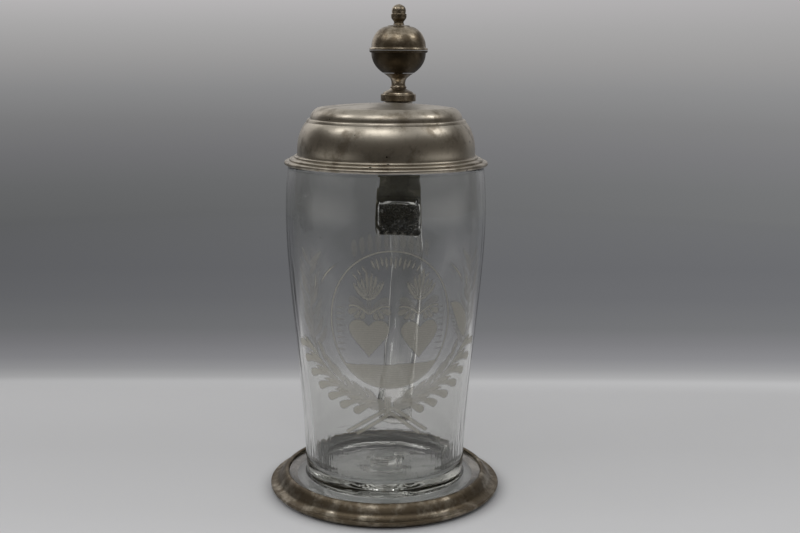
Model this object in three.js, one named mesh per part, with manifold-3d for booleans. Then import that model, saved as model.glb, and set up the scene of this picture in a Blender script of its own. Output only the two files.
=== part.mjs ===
// Lidded glass tankard. A blown glass body with an applied strap handle stands in a
// cast pewter foot ring, and a turned pewter lid with a ball thumb-rest opens on a
// five-knuckle hinge above the handle. Millimetres, +Z up, handle towards +Y.
import * as THREE from 'three';
import { mergeVertices } from 'three/addons/utils/BufferGeometryUtils.js';
import Module from 'manifold-3d';

const wasm = await Module();
wasm.setup();

// Clearance between pieces that rest on, wrap or pass through each other
const seatGap = 0.3;

// Glass body: radii of the outer wall, heights above the table, and wall thickness
const bodyFootRadius = 44.6;
const bodyBaseRadius = 45.3;
const bodyBaseSwell = 2;
const bodyBellyRadius = 55.5;
const bodyRimRadius = 54;
const bodyBaseRise = 6.4;
const rimHeight = 186.8;
const mouthHeight = 26.8;
const wallAtRim = 3.2;
const wallAtBase = 4.2;
const bottomThickness = 8.2;
const bottomCorner = 3.6;
const pontilRadius = 9.6;
const pontilDepth = 1.2;
const kickHeight = 1.6;

// Glass foot, a flat disc drawn out below the body
const glassFootRadius = 57.2;
const glassFootThickness = 4.7;
const glassFootFillet = 2.2;

// Pewter foot ring, cast around the edge of the glass foot
const ringFlare = 8.6;
const ringLedgeHeight = 4.6;
const ringLedgeThickness = 1.8;
const ringLedgeReach = 7.2;
const ringLipCover = 1.9;
const ringLipThickness = 1.4;
const ringLipWall = 1.1;
const ringEdgeHeight = 4.1;
const ringTread = 3.4;
const ringUndercut = 2.4;
const ringTuck = 2.2;

// Pewter lid, turned from one casting
const flangeOverhang = 2;
const flangeReedRadius = 0.85;
const flangeReedPitch = 2.7;
const flangeReedStep = 1.5;
const flangeReedDrop = 0.4;
const flangeRollDrop = 0.8;
const flangeRollHeight = 2.1;
const domeInset = 7.1;
const domeFootHeight = 6.9;
const domeHeight = 17.8;
const domeBulge = 10;
const stepInset = 1.5;
const stepHeight = 7.1;
const stepBulge = 8.4;
const plateauInset = 4.8;
const plateauCrown = 2.3;
const lidWall = 2.1;
const collarDepth = 1.6;
const collarWall = 1.6;
const collarClearance = 0.9;

// Ball thumb-rest: a turned stem, a hollow ball in two halves and an acorn
const thumbSetback = 1.1;
const thumbDrop = 1;
const stemDiscRadius = 10.4;
const stemDiscThickness = 4.4;
const stemNeckRadius = 4.1;
const stemNeckLength = 11.8;
const stemFlareRadius = 8.9;
const spigotRadius = 2.5;
const spigotLength = 4;
const ballRadius = 16;
const ballCrown = 14.2;
const ballDepth = 13.1;
const ballFootRadius = 9.3;
const ballShell = 1.4;
const ballBandWidth = 1.2;
const ballBandHeight = 2.9;
const ballCollarRadius = 6.6;
const ballCollarHeight = 0.6;
const acornNeckRadius = 2.7;
const acornCupRadius = 4.6;
const acornNutRadius = 4.1;
const acornCupLength = 6.7;
const acornNutLength = 5.3;

// Hinge: three knuckles on the handle mount, two on the lid bracket, and one pin
const knuckleRadius = 4;
const knuckleWidth = 5.4;
const hingeStandoff = 4.3;
const hingeRise = 1.4;
const pinRadius = 1.6;
const pinHeadRadius = 2.7;
const pinHeadThickness = 1;
const bracketWaist = 5.2;
const bracketHead = 8;

// Glass handle: a strap drawn in the plane of the hinge, with a curled tail
const handleDrop = 30.5;
const handleReach = 52;
const handleWidth = 21.6;
const strapThickness = 15.5;
const gripThickness = 10;
const handleRound = 3.6;
const handleRootRise = 14.5;
const handleRootDepth = 4;
const handleRootCurve = 1.2;
const padHeight = 28;
const padLength = 15;
const tailThickness = 5;
const tailInset = 1;
const tailRadius = 6.4;
const tailStandoff = 1.6;

// Pewter mount, cast as a band around the handle below the hinge
const bandWall = 2.2;
const bandWidth = 11;
const bandSetback = 5.5;
const bandMargin = 2;
const riserInset = 1.8;
const riserStep = 0.5;
const riserWaist = 2.5;

// Facets round the large and the small turned pieces
const largeSides = 40;
const smallSides = 20;

// Places worked out from the sizes above
const glassFootBottom = ringLedgeHeight + seatGap;
const glassFootTop = glassFootBottom + glassFootThickness;
const bodyBaseHeight = glassFootTop + bodyBaseRise;
const floorHeight = glassFootBottom + kickHeight + bottomThickness;
const bellyHeight = rimHeight - mouthHeight;
const ringRadius = glassFootRadius + ringFlare;
const lidSeat = rimHeight + seatGap;
const flangeRadius = bodyRimRadius + flangeOverhang;
const domeRadius = flangeRadius - domeInset;
const domeTopAngle = Math.acos((domeBulge - domeInset + stepInset) / domeBulge);
const domeTop = lidSeat + domeFootHeight + domeHeight * Math.sin(domeTopAngle);
const domeTopRadius = domeRadius - domeBulge * (1 - Math.cos(domeTopAngle));
const stepRadius = domeTopRadius - stepInset;
const plateauRadius = stepRadius - plateauInset;
const stepTopAngle = Math.acos((stepBulge - plateauInset) / stepBulge);
const stepFoot = domeTop + stepInset * 0.7;
const plateauEdge = stepFoot + stepHeight * Math.sin(stepTopAngle);
const lidTop = plateauEdge + plateauCrown;
const thumbY = domeRadius + thumbSetback;
const thumbBase = lidTop - thumbDrop;
const stemTop = thumbBase + stemDiscThickness + stemNeckLength;
const ballCentre = stemTop + seatGap + ballDepth;
const hingeY = flangeRadius + hingeStandoff + knuckleRadius;
const hingeZ = lidSeat + hingeRise;
const handleBack = bodyBellyRadius + handleReach;
const strapTop = rimHeight - handleDrop;
const strapBottom = strapTop - strapThickness;
const bandStart = bodyBellyRadius + bandSetback;
const bandEnd = bandStart + bandWidth;

// Point on a straight line between two values
function between(from, to, share) {
  return from + (to - from) * share;
}

// Turned piece from the strokes of a profile of radius and height, drawn anticlockwise.
// Each stroke is a path and the number of steps that its curves take
function turned(sides, ...strokes) {
  const points = [];
  for (const [path, steps] of strokes) {
    for (const point of path.getPoints(steps)) {
      const last = points[points.length - 1];
      if (!last || last.distanceTo(point) > 1e-4) points.push(point);
    }
  }
  const geometry = new THREE.LatheGeometry(points, sides);
  geometry.rotateX(Math.PI / 2);
  return geometry;
}

// New stroke that goes on where the last one ended
function strokeFrom(path) {
  const next = new THREE.Path();
  next.moveTo(path.currentPoint.x, path.currentPoint.y);
  return next;
}

// Slab from a side outline of depth Y and height Z, centred on x = 0
function sideSlab(outline, width, round, divisions, roundSteps = 3) {
  const geometry = new THREE.ExtrudeGeometry(outline, {
    depth: width - 2 * round,
    bevelEnabled: round > 0,
    bevelThickness: round,
    bevelSize: round,
    bevelOffset: -round,
    bevelSegments: roundSteps,
    curveSegments: divisions,
  });
  geometry.translate(0, 0, round - width / 2);
  geometry.rotateX(Math.PI / 2);
  geometry.rotateZ(Math.PI / 2);
  return geometry;
}

// Slab from a front outline of width X and height Z, between two depths
function frontSlab(outline, yFrom, yTo, divisions) {
  const geometry = new THREE.ExtrudeGeometry(outline, {
    depth: yTo - yFrom,
    bevelEnabled: false,
    curveSegments: divisions,
  });
  geometry.rotateX(Math.PI / 2);
  geometry.translate(0, yTo, 0);
  return geometry;
}

// Round bar along the hinge line
function hingeBar(radius, xFrom, xTo) {
  const geometry = new THREE.CylinderGeometry(radius, radius, xTo - xFrom, smallSides);
  geometry.rotateZ(Math.PI / 2);
  geometry.translate((xFrom + xTo) / 2, hingeY, hingeZ);
  return geometry;
}

// Closed geometry as a solid that can be joined and cut
function solid(geometry) {
  const bare = new THREE.BufferGeometry();
  bare.setAttribute('position', geometry.getAttribute('position'));
  bare.setIndex(geometry.getIndex());
  const merged = mergeVertices(bare, 1e-4);
  const corners = merged.getIndex().array;
  const kept = [];
  for (let i = 0; i < corners.length; i += 3) {
    const [a, b, c] = [corners[i], corners[i + 1], corners[i + 2]];
    if (a !== b && b !== c && c !== a) kept.push(a, b, c);
  }
  return new wasm.Manifold(new wasm.Mesh({
    numProp: 3,
    vertProperties: new Float32Array(merged.getAttribute('position').array),
    triVerts: new Uint32Array(kept),
  }));
}

// Solid back to a geometry
function surface(body) {
  const { vertProperties, triVerts } = body.getMesh();
  const geometry = new THREE.BufferGeometry();
  geometry.setAttribute('position', new THREE.BufferAttribute(vertProperties, 3));
  geometry.setIndex(new THREE.BufferAttribute(triVerts, 1));
  geometry.computeVertexNormals();
  return geometry;
}

// Rectangle with round corners, as an outline or as a hole
function roundedRectangle(path, halfWidth, low, high, corner) {
  path.moveTo(-halfWidth + corner, low);
  path.lineTo(halfWidth - corner, low);
  path.absarc(halfWidth - corner, low + corner, corner, -Math.PI / 2, 0, false);
  path.absarc(halfWidth - corner, high - corner, corner, 0, Math.PI / 2, false);
  path.absarc(-halfWidth + corner, high - corner, corner, Math.PI / 2, Math.PI, false);
  path.absarc(-halfWidth + corner, low + corner, corner, Math.PI, 1.5 * Math.PI, false);
  path.closePath();
  return path;
}

// Outer wall of the glass from the foot fillet to the rim, moved out by grow
function drawOuterWall(path, grow) {
  const rise = bellyHeight - bodyBaseHeight;
  path.bezierCurveTo(
    bodyBaseRadius + bodyBaseSwell + grow, bodyBaseHeight + rise * 0.41,
    bodyBellyRadius + grow, bodyBaseHeight + rise * 0.72,
    bodyBellyRadius + grow, bellyHeight,
  );
  path.quadraticCurveTo(
    bodyBellyRadius + grow, bellyHeight + mouthHeight * 0.6,
    bodyRimRadius + grow, rimHeight - wallAtRim * 0.3,
  );
}

// Blown body with its drawn foot, pontil mark and rounded rim
function glassBody() {
  const kick = glassFootBottom + kickHeight;
  const edge = glassFootThickness / 2;
  const foot = new THREE.Path();
  foot.moveTo(0, kick);
  foot.lineTo(pontilRadius - 1.2, kick);
  foot.lineTo(pontilRadius, kick - pontilDepth);
  foot.lineTo(pontilRadius + 1.4, kick);
  foot.quadraticCurveTo(bodyFootRadius * 0.8, kick, bodyFootRadius, glassFootBottom);
  foot.lineTo(glassFootRadius - edge * 0.6, glassFootBottom);
  foot.quadraticCurveTo(
    glassFootRadius, glassFootBottom, glassFootRadius, glassFootBottom + edge * 0.7,
  );
  foot.lineTo(glassFootRadius, glassFootTop - edge * 0.7);
  foot.quadraticCurveTo(
    glassFootRadius, glassFootTop, glassFootRadius - edge * 0.6, glassFootTop,
  );
  foot.lineTo(bodyFootRadius + glassFootFillet, glassFootTop);
  foot.quadraticCurveTo(
    bodyFootRadius, glassFootTop, bodyFootRadius, glassFootTop + glassFootFillet,
  );
  foot.lineTo(bodyBaseRadius, bodyBaseHeight);
  const wall = strokeFrom(foot);
  drawOuterWall(wall, 0);
  const rim = strokeFrom(wall);
  rim.quadraticCurveTo(
    bodyRimRadius - wallAtRim * 0.1, rimHeight, bodyRimRadius - wallAtRim * 0.4, rimHeight,
  );
  rim.lineTo(bodyRimRadius - wallAtRim * 0.7, rimHeight);
  rim.quadraticCurveTo(
    bodyRimRadius - wallAtRim, rimHeight, bodyRimRadius - wallAtRim, rimHeight - wallAtRim * 0.4,
  );
  const rise = bellyHeight - bodyBaseHeight;
  const inside = strokeFrom(rim);
  inside.quadraticCurveTo(
    bodyBellyRadius - wallAtRim, bellyHeight + mouthHeight * 0.6,
    bodyBellyRadius - wallAtRim, bellyHeight,
  );
  inside.bezierCurveTo(
    bodyBellyRadius - wallAtRim, bodyBaseHeight + rise * 0.72,
    bodyBaseRadius + bodyBaseSwell - wallAtBase, bodyBaseHeight + rise * 0.41,
    bodyBaseRadius - wallAtBase, floorHeight + bottomCorner,
  );
  const bottom = strokeFrom(inside);
  bottom.quadraticCurveTo(
    bodyBaseRadius - wallAtBase, floorHeight, bodyBaseRadius - wallAtBase - bottomCorner, floorHeight,
  );
  bottom.lineTo(0, floorHeight + pontilDepth);
  return turned(largeSides, [foot, 2], [wall, 6], [rim, 2], [inside, 4], [bottom, 3]);
}

// Space that the body takes up, grown by the seat gap, for cutting what meets the wall
function bodyClearance() {
  const foot = new THREE.Path();
  foot.moveTo(0, 0);
  foot.lineTo(bodyBaseRadius + seatGap, 0);
  foot.lineTo(bodyBaseRadius + seatGap, bodyBaseHeight);
  const wall = strokeFrom(foot);
  drawOuterWall(wall, seatGap);
  wall.lineTo(bodyRimRadius + seatGap, rimHeight);
  wall.lineTo(0, rimHeight);
  return solid(turned(largeSides, [foot, 1], [wall, 6]));
}

// Foot ring: a lip over the glass foot, a hollow moulding and a tread
function footRing() {
  const lipInner = glassFootRadius - ringLipCover;
  const groove = glassFootRadius + seatGap;
  const lipLow = glassFootTop + seatGap;
  const lipTop = lipLow + ringLipThickness;
  const shoulder = groove + ringLipWall;
  const ledgeInner = glassFootRadius - ringLedgeReach;
  const ledgeLow = ringLedgeHeight - ringLedgeThickness;
  const profile = new THREE.Path();
  profile.moveTo(ringRadius - ringTuck - ringTread, 0);
  profile.lineTo(ringRadius - ringTuck, 0);
  profile.quadraticCurveTo(ringRadius, 0, ringRadius, ringEdgeHeight * 0.5);
  profile.lineTo(ringRadius, ringEdgeHeight * 0.8);
  profile.quadraticCurveTo(ringRadius, ringEdgeHeight, ringRadius - 0.9, ringEdgeHeight);
  profile.bezierCurveTo(
    between(ringRadius, shoulder, 0.65), between(ringEdgeHeight, lipLow, 0.15),
    between(ringRadius, shoulder, 0.86), between(ringEdgeHeight, lipLow, 0.7),
    shoulder, lipLow,
  );
  profile.bezierCurveTo(
    shoulder - 1.2, lipTop + 0.5, lipInner + 0.3, lipTop, lipInner, lipLow + 0.4,
  );
  profile.lineTo(lipInner, lipLow);
  profile.lineTo(groove, lipLow);
  profile.lineTo(groove, ringLedgeHeight);
  profile.lineTo(ledgeInner, ringLedgeHeight);
  profile.lineTo(ledgeInner, ledgeLow);
  profile.lineTo(ringRadius - ringUndercut - ringTread, ledgeLow);
  profile.lineTo(ringRadius - ringTuck - ringTread, 0);
  return turned(largeSides, [profile, 3]);
}

// Rim roll and two reeds of the lid's flange, stepping up and inwards, moved out by grow.
// The roll starts at an angle, half a turn back when its inner side is drawn too
function drawReeds(path, grow, start) {
  const reed = flangeReedRadius + grow;
  path.absellipse(
    flangeRadius - flangeReedRadius, lidSeat - flangeRollDrop + flangeRollHeight / 2,
    reed, flangeRollHeight / 2 + grow, start, Math.PI * 0.7, false, 0,
  );
  for (const step of [1, 2]) {
    path.absarc(
      flangeRadius - flangeReedRadius - step * flangeReedPitch,
      lidSeat + flangeReedRadius - flangeReedDrop + step * flangeReedStep, reed,
      -Math.PI * 0.05, Math.PI * 0.7, false,
    );
  }
}

// Outside of the lid from the foot of its dome to the crown, moved out by grow
function drawDome(path, grow) {
  path.lineTo(domeRadius + grow, lidSeat + flangeReedStep * 2.8 + grow);
  path.absellipse(
    domeRadius - domeBulge, lidSeat + domeFootHeight,
    domeBulge + grow, domeHeight + grow, 0, domeTopAngle, false, 0,
  );
  path.lineTo(domeTopRadius + grow, domeTop + stepInset * 0.35 + grow);
  path.lineTo(stepRadius + grow, stepFoot + grow);
  path.absellipse(
    stepRadius - stepBulge, stepFoot,
    stepBulge + grow, stepHeight + grow, 0.08, stepTopAngle, false, 0,
  );
  path.lineTo(plateauRadius - 0.5 + grow, plateauEdge + 0.25 + grow);
  path.quadraticCurveTo(plateauRadius * 0.5, lidTop + grow, 0, lidTop + grow);
}

// Lid with its locating collar inside the rim
function lid() {
  const collarRadius = bodyRimRadius - wallAtRim - collarClearance;
  const collarInner = collarRadius - collarWall;
  const inside = new THREE.Path();
  inside.moveTo(0, lidTop - lidWall);
  inside.lineTo(plateauRadius - lidWall, plateauEdge - lidWall);
  inside.quadraticCurveTo(
    stepRadius - lidWall, plateauEdge - lidWall, stepRadius - lidWall, domeTop - lidWall,
  );
  inside.quadraticCurveTo(
    domeRadius - lidWall, domeTop - lidWall, domeRadius - lidWall, lidSeat + domeFootHeight,
  );
  inside.lineTo(domeRadius - lidWall, lidSeat + flangeReedRadius * 3.5);
  inside.lineTo(collarInner, lidSeat);
  inside.lineTo(collarInner, lidSeat - collarDepth);
  inside.lineTo(collarRadius, lidSeat - collarDepth);
  inside.lineTo(collarRadius, lidSeat);
  inside.lineTo(flangeRadius - flangeReedRadius * 2, lidSeat);
  const flange = strokeFrom(inside);
  drawReeds(flange, 0, -Math.PI);
  const dome = strokeFrom(flange);
  drawDome(dome, 0);
  return turned(largeSides, [inside, 4], [flange, 3], [dome, 3]);
}

// Space that the lid takes up, grown by the seat gap and closed down below the flange
function lidClearance() {
  const low = lidSeat - knuckleRadius * 2;
  const flange = new THREE.Path();
  flange.moveTo(0, low);
  flange.lineTo(flangeRadius + seatGap, low);
  drawReeds(flange, seatGap, 0);
  const dome = strokeFrom(flange);
  drawDome(dome, seatGap);
  return solid(turned(largeSides, [flange, 3], [dome, 3]));
}

// Bracket that joins the lid to the hinge and carries the thumb-rest
function lidBracket() {
  const head = thumbBase - seatGap;
  const undercut = knuckleRadius * 0.3;
  const wrap = Math.PI + Math.asin(0.3);
  const side = new THREE.Shape();
  side.moveTo(hingeY, hingeZ + knuckleRadius);
  side.bezierCurveTo(
    hingeY - 0.6, between(hingeZ, head, 0.5),
    thumbY + bracketWaist, between(hingeZ, head, 0.55),
    thumbY + bracketHead, head,
  );
  side.lineTo(thumbY - bracketHead, head);
  side.lineTo(thumbY - bracketHead, hingeZ - undercut);
  side.absarc(hingeY, hingeZ, knuckleRadius, wrap, Math.PI * 2.5, false);
  const leafHalf = knuckleWidth * 1.5 + seatGap;
  const front = new THREE.Shape();
  front.moveTo(-leafHalf, hingeZ - knuckleRadius * 1.5);
  front.lineTo(leafHalf, hingeZ - knuckleRadius * 1.5);
  front.lineTo(leafHalf, hingeZ + knuckleRadius);
  front.bezierCurveTo(
    leafHalf, between(hingeZ, head, 0.35),
    bracketWaist, between(hingeZ, head, 0.35),
    bracketWaist, between(hingeZ, head, 0.6),
  );
  front.quadraticCurveTo(bracketWaist, between(hingeZ, head, 0.85), bracketHead, head);
  front.lineTo(-bracketHead, head);
  front.quadraticCurveTo(
    -bracketWaist, between(hingeZ, head, 0.85), -bracketWaist, between(hingeZ, head, 0.6),
  );
  front.bezierCurveTo(
    -bracketWaist, between(hingeZ, head, 0.35),
    -leafHalf, between(hingeZ, head, 0.35),
    -leafHalf, hingeZ + knuckleRadius,
  );
  const centre = knuckleWidth / 2 + seatGap;
  const socket = new THREE.CylinderGeometry(
    spigotRadius + seatGap, spigotRadius + seatGap, spigotLength + 2 * seatGap, smallSides,
  );
  socket.rotateX(Math.PI / 2);
  socket.translate(0, thumbY, head - spigotLength / 2);
  return surface(
    solid(sideSlab(side, leafHalf * 2, 0, 6))
      .intersect(solid(frontSlab(front, 0, hingeY * 2, 6)))
      .subtract(lidClearance())
      .subtract(solid(hingeBar(knuckleRadius + seatGap, -centre, centre)))
      .subtract(solid(hingeBar(pinRadius + seatGap, -leafHalf * 2, leafHalf * 2)))
      .subtract(solid(socket)),
  );
}

// Stem of the thumb-rest, with a spigot at each end
function thumbStem() {
  const discTop = thumbBase + stemDiscThickness;
  const profile = new THREE.Path();
  profile.moveTo(0, thumbBase - spigotLength);
  profile.lineTo(spigotRadius, thumbBase - spigotLength);
  profile.lineTo(spigotRadius, thumbBase);
  profile.lineTo(stemDiscRadius - 0.4, thumbBase);
  profile.lineTo(stemDiscRadius, thumbBase + 0.5);
  profile.lineTo(stemDiscRadius, discTop - 0.7);
  profile.quadraticCurveTo(stemDiscRadius, discTop, stemDiscRadius - 0.8, discTop);
  profile.lineTo(stemDiscRadius * 0.88, discTop + stemNeckLength * 0.04);
  profile.quadraticCurveTo(
    stemDiscRadius * 0.6, between(discTop, stemTop, 0.12),
    stemNeckRadius * 1.1, between(discTop, stemTop, 0.27),
  );
  profile.lineTo(stemNeckRadius * 1.2, between(discTop, stemTop, 0.31));
  profile.lineTo(stemNeckRadius, between(discTop, stemTop, 0.36));
  profile.lineTo(stemNeckRadius, between(discTop, stemTop, 0.65));
  profile.quadraticCurveTo(
    stemNeckRadius, between(discTop, stemTop, 0.82), stemFlareRadius, stemTop,
  );
  profile.lineTo(spigotRadius, stemTop);
  profile.lineTo(spigotRadius, stemTop + spigotLength);
  profile.lineTo(0, stemTop + spigotLength);
  const geometry = turned(smallSides, [profile, 3]);
  geometry.translate(0, thumbY, 0);
  return geometry;
}

// Lower half of the hollow ball, a bowl on a flat foot with its half of the band
function ballLower() {
  const hole = spigotRadius + seatGap;
  const inner = ballRadius - ballShell;
  const foot = stemTop + seatGap;
  const floor = foot + ballShell;
  const bandLow = ballCentre - ballBandHeight / 2;
  const profile = new THREE.Path();
  profile.moveTo(hole, foot);
  profile.lineTo(ballFootRadius, foot);
  profile.bezierCurveTo(
    between(ballFootRadius, ballRadius, 0.5), between(foot, bandLow, 0.22),
    ballRadius, between(foot, bandLow, 0.5),
    ballRadius, bandLow,
  );
  profile.lineTo(ballRadius + ballBandWidth - 0.5, bandLow);
  profile.lineTo(ballRadius + ballBandWidth, ballCentre - ballBandHeight * 0.25);
  profile.lineTo(ballRadius + ballBandWidth, ballCentre - seatGap / 2);
  profile.lineTo(inner, ballCentre - seatGap / 2);
  profile.bezierCurveTo(
    inner, between(floor, bandLow, 0.5),
    between(ballFootRadius - ballShell, inner, 0.5), between(floor, bandLow, 0.22),
    ballFootRadius - ballShell, floor,
  );
  profile.lineTo(hole, floor);
  profile.lineTo(hole, foot);
  const geometry = turned(smallSides, [profile, 4]);
  geometry.translate(0, thumbY, 0);
  return geometry;
}

// Upper half of the hollow ball, with its half of the band and a flat collar
function ballUpper() {
  const hole = acornNeckRadius - 1 + seatGap;
  const inner = ballRadius - ballShell;
  const crown = ballCentre + ballCrown;
  const shoulder = crown - ballCollarHeight;
  const roof = shoulder - ballShell;
  const bandHigh = ballCentre + ballBandHeight / 2;
  const profile = new THREE.Path();
  profile.moveTo(inner, ballCentre + seatGap / 2);
  profile.lineTo(ballRadius + ballBandWidth, ballCentre + seatGap / 2);
  profile.lineTo(ballRadius + ballBandWidth, ballCentre + ballBandHeight * 0.3);
  profile.lineTo(ballRadius + ballBandWidth - 0.3, bandHigh);
  profile.lineTo(ballRadius, bandHigh);
  profile.bezierCurveTo(
    ballRadius, between(bandHigh, shoulder, 0.58),
    between(ballCollarRadius, ballRadius, 0.48), shoulder,
    ballCollarRadius, shoulder,
  );
  profile.lineTo(ballCollarRadius - 0.3, crown);
  profile.lineTo(hole, crown);
  profile.lineTo(hole, roof);
  profile.lineTo(ballCollarRadius, roof);
  profile.bezierCurveTo(
    between(ballCollarRadius, inner, 0.48), roof,
    inner, between(bandHigh, roof, 0.58),
    inner, ballCentre + seatGap / 2,
  );
  const geometry = turned(smallSides, [profile, 4]);
  geometry.translate(0, thumbY, 0);
  return geometry;
}

// Acorn on top of the ball: spigot, neck, cup and nut
function acornKnop() {
  const foot = ballCentre + ballCrown + seatGap;
  const spigot = acornNeckRadius - 1;
  const cupTop = foot + acornCupLength;
  const tip = cupTop + acornNutLength;
  const profile = new THREE.Path();
  profile.moveTo(0, foot - ballShell * 1.3);
  profile.lineTo(spigot, foot - ballShell * 1.3);
  profile.lineTo(spigot, foot);
  profile.lineTo(acornNeckRadius * 1.3, foot);
  profile.quadraticCurveTo(
    acornNeckRadius, between(foot, cupTop, 0.1), acornNeckRadius, between(foot, cupTop, 0.27),
  );
  profile.bezierCurveTo(
    acornNeckRadius, between(foot, cupTop, 0.4),
    acornCupRadius, between(foot, cupTop, 0.52),
    acornCupRadius, between(foot, cupTop, 0.78),
  );
  profile.lineTo(acornCupRadius - 0.4, cupTop);
  profile.lineTo(acornNutRadius, between(cupTop, tip, 0.12));
  profile.bezierCurveTo(
    acornNutRadius * 1.05, between(cupTop, tip, 0.5),
    acornNutRadius * 0.8, between(cupTop, tip, 0.82),
    acornNutRadius * 0.2, tip - 0.15,
  );
  profile.lineTo(0, tip);
  const geometry = turned(smallSides, [profile, 3]);
  geometry.translate(0, thumbY, 0);
  return geometry;
}

// Curled tail, a thinner strip that turns away from the wall below the pad
function handleTail() {
  const half = tailThickness / 2;
  const section = roundedRectangle(
    new THREE.Shape(), handleWidth / 2 - tailInset, -half, half, half * 0.7,
  );
  const centreY = bodyBaseRadius + tailStandoff + half + tailRadius;
  const centreZ = padHeight - tailInset;
  const course = [new THREE.Vector3(0, centreY - tailRadius, centreZ + tailRadius)];
  for (let turn = 180; turn <= 400; turn += 44) {
    const angle = THREE.MathUtils.degToRad(turn);
    course.push(new THREE.Vector3(
      0, centreY + tailRadius * Math.cos(angle), centreZ + tailRadius * Math.sin(angle),
    ));
  }
  return new THREE.ExtrudeGeometry(section, {
    steps: 14, extrudePath: new THREE.CatmullRomCurve3(course), curveSegments: 2,
  });
}

// Strap handle, cut to the wall it is fused to, thick at its root and thin at the tail
function glassHandle() {
  const inside = bodyBaseRadius - wallAtBase;
  const padTop = padHeight + padLength;
  const belly = between(padTop, strapTop, 0.64);
  const gripFront = handleBack - gripThickness;
  const side = new THREE.Shape();
  side.moveTo(inside, strapTop + handleRootRise);
  side.lineTo(bodyBellyRadius, strapTop + handleRootRise);
  side.quadraticCurveTo(
    bodyBellyRadius + handleRootCurve, strapTop, bandStart - bandMargin / 2, strapTop,
  );
  side.lineTo(bandEnd + bandMargin, strapTop);
  side.bezierCurveTo(
    between(bandEnd, handleBack, 0.6), strapTop,
    handleBack, between(belly, strapTop, 0.6),
    handleBack, belly,
  );
  side.bezierCurveTo(
    handleBack, between(padTop, belly, 0.5),
    between(inside, handleBack, 0.64), between(padTop, belly, 0.22),
    inside, padHeight,
  );
  side.lineTo(inside, padTop);
  side.bezierCurveTo(
    between(inside, gripFront, 0.7), between(padTop, belly, 0.34),
    gripFront, between(padTop, belly, 0.66),
    gripFront, belly,
  );
  side.bezierCurveTo(
    gripFront, between(belly, strapBottom, 0.6),
    between(bandEnd, gripFront, 0.68), strapBottom,
    bandEnd + bandMargin, strapBottom,
  );
  side.lineTo(bandStart - bandMargin / 2, strapBottom);
  side.quadraticCurveTo(
    bodyBellyRadius + handleRootCurve, strapBottom,
    bodyBellyRadius, strapBottom - handleRootDepth,
  );
  side.lineTo(inside, strapBottom - handleRootDepth);
  return surface(
    solid(sideSlab(side, handleWidth, handleRound, 7, 2))
      .add(solid(handleTail()))
      .subtract(bodyClearance()),
  );
}

// Band round the handle with the riser and the three outer knuckles of the hinge
function handleMount() {
  const clearHalf = handleWidth / 2 + seatGap;
  const bandHalf = clearHalf + bandWall;
  const bandTop = strapTop + seatGap + bandWall;
  const band = roundedRectangle(
    new THREE.Shape(), bandHalf, strapBottom - seatGap - bandWall, bandTop, handleRound + bandWall,
  );
  band.holes.push(roundedRectangle(
    new THREE.Path(), clearHalf, strapBottom - seatGap, strapTop + seatGap, handleRound + seatGap,
  ));
  const riserBack = (share) => (
    between(bandEnd - riserStep, hingeY + knuckleRadius, share) - riserWaist
  );
  const side = new THREE.Shape();
  side.moveTo(bandStart + riserStep, bandTop - bandWall / 2);
  side.lineTo(bandEnd - riserStep, bandTop - bandWall / 2);
  side.quadraticCurveTo(
    riserBack(0.2), between(bandTop, hingeZ, 0.2), riserBack(0.6), between(bandTop, hingeZ, 0.6),
  );
  side.quadraticCurveTo(
    hingeY + knuckleRadius, between(bandTop, hingeZ, 0.8), hingeY + knuckleRadius, hingeZ,
  );
  side.absarc(hingeY, hingeZ, knuckleRadius, 0, Math.PI, false);
  side.lineTo(hingeY - knuckleRadius, hingeZ - knuckleRadius);
  const hingeHalf = knuckleWidth * 2.5 + 2 * seatGap;
  const riserHalf = hingeHalf - riserInset;
  const front = new THREE.Shape();
  front.moveTo(-riserHalf, bandTop - bandWall);
  front.lineTo(riserHalf, bandTop - bandWall);
  front.lineTo(riserHalf, between(bandTop, hingeZ, 0.5));
  front.quadraticCurveTo(
    riserHalf, hingeZ - knuckleRadius * 1.6, hingeHalf, hingeZ - knuckleRadius * 0.9,
  );
  front.lineTo(hingeHalf, hingeZ + knuckleRadius * 1.5);
  front.lineTo(-hingeHalf, hingeZ + knuckleRadius * 1.5);
  front.lineTo(-hingeHalf, hingeZ - knuckleRadius * 0.9);
  front.quadraticCurveTo(
    -riserHalf, hingeZ - knuckleRadius * 1.6, -riserHalf, between(bandTop, hingeZ, 0.5),
  );
  let mount = solid(sideSlab(side, hingeHalf * 2, 0, 5))
    .intersect(solid(frontSlab(front, 0, hingeY * 2, 5)))
    .add(solid(frontSlab(band, bandStart, bandEnd, 3)))
    .subtract(bodyClearance());
  for (const turn of [-1, 1]) {
    const near = turn * (knuckleWidth / 2);
    const far = turn * (knuckleWidth * 1.5 + 2 * seatGap);
    mount = mount.subtract(
      solid(hingeBar(knuckleRadius + seatGap, Math.min(near, far), Math.max(near, far))),
    );
  }
  return surface(
    mount.subtract(solid(hingeBar(pinRadius + seatGap, -hingeHalf * 2, hingeHalf * 2))),
  );
}

// Hinge pin with a low riveted head at each end
function hingePin() {
  const half = knuckleWidth * 2.5 + 3 * seatGap;
  const profile = new THREE.Path();
  profile.moveTo(0, -half - pinHeadThickness);
  profile.quadraticCurveTo(pinHeadRadius, -half - pinHeadThickness, pinHeadRadius, -half);
  profile.lineTo(pinRadius, -half);
  profile.lineTo(pinRadius, half);
  profile.lineTo(pinHeadRadius, half);
  profile.quadraticCurveTo(pinHeadRadius, half + pinHeadThickness, 0, half + pinHeadThickness);
  const geometry = turned(smallSides, [profile, 2]);
  geometry.rotateY(Math.PI / 2);
  geometry.translate(0, hingeY, hingeZ);
  return geometry;
}

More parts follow.
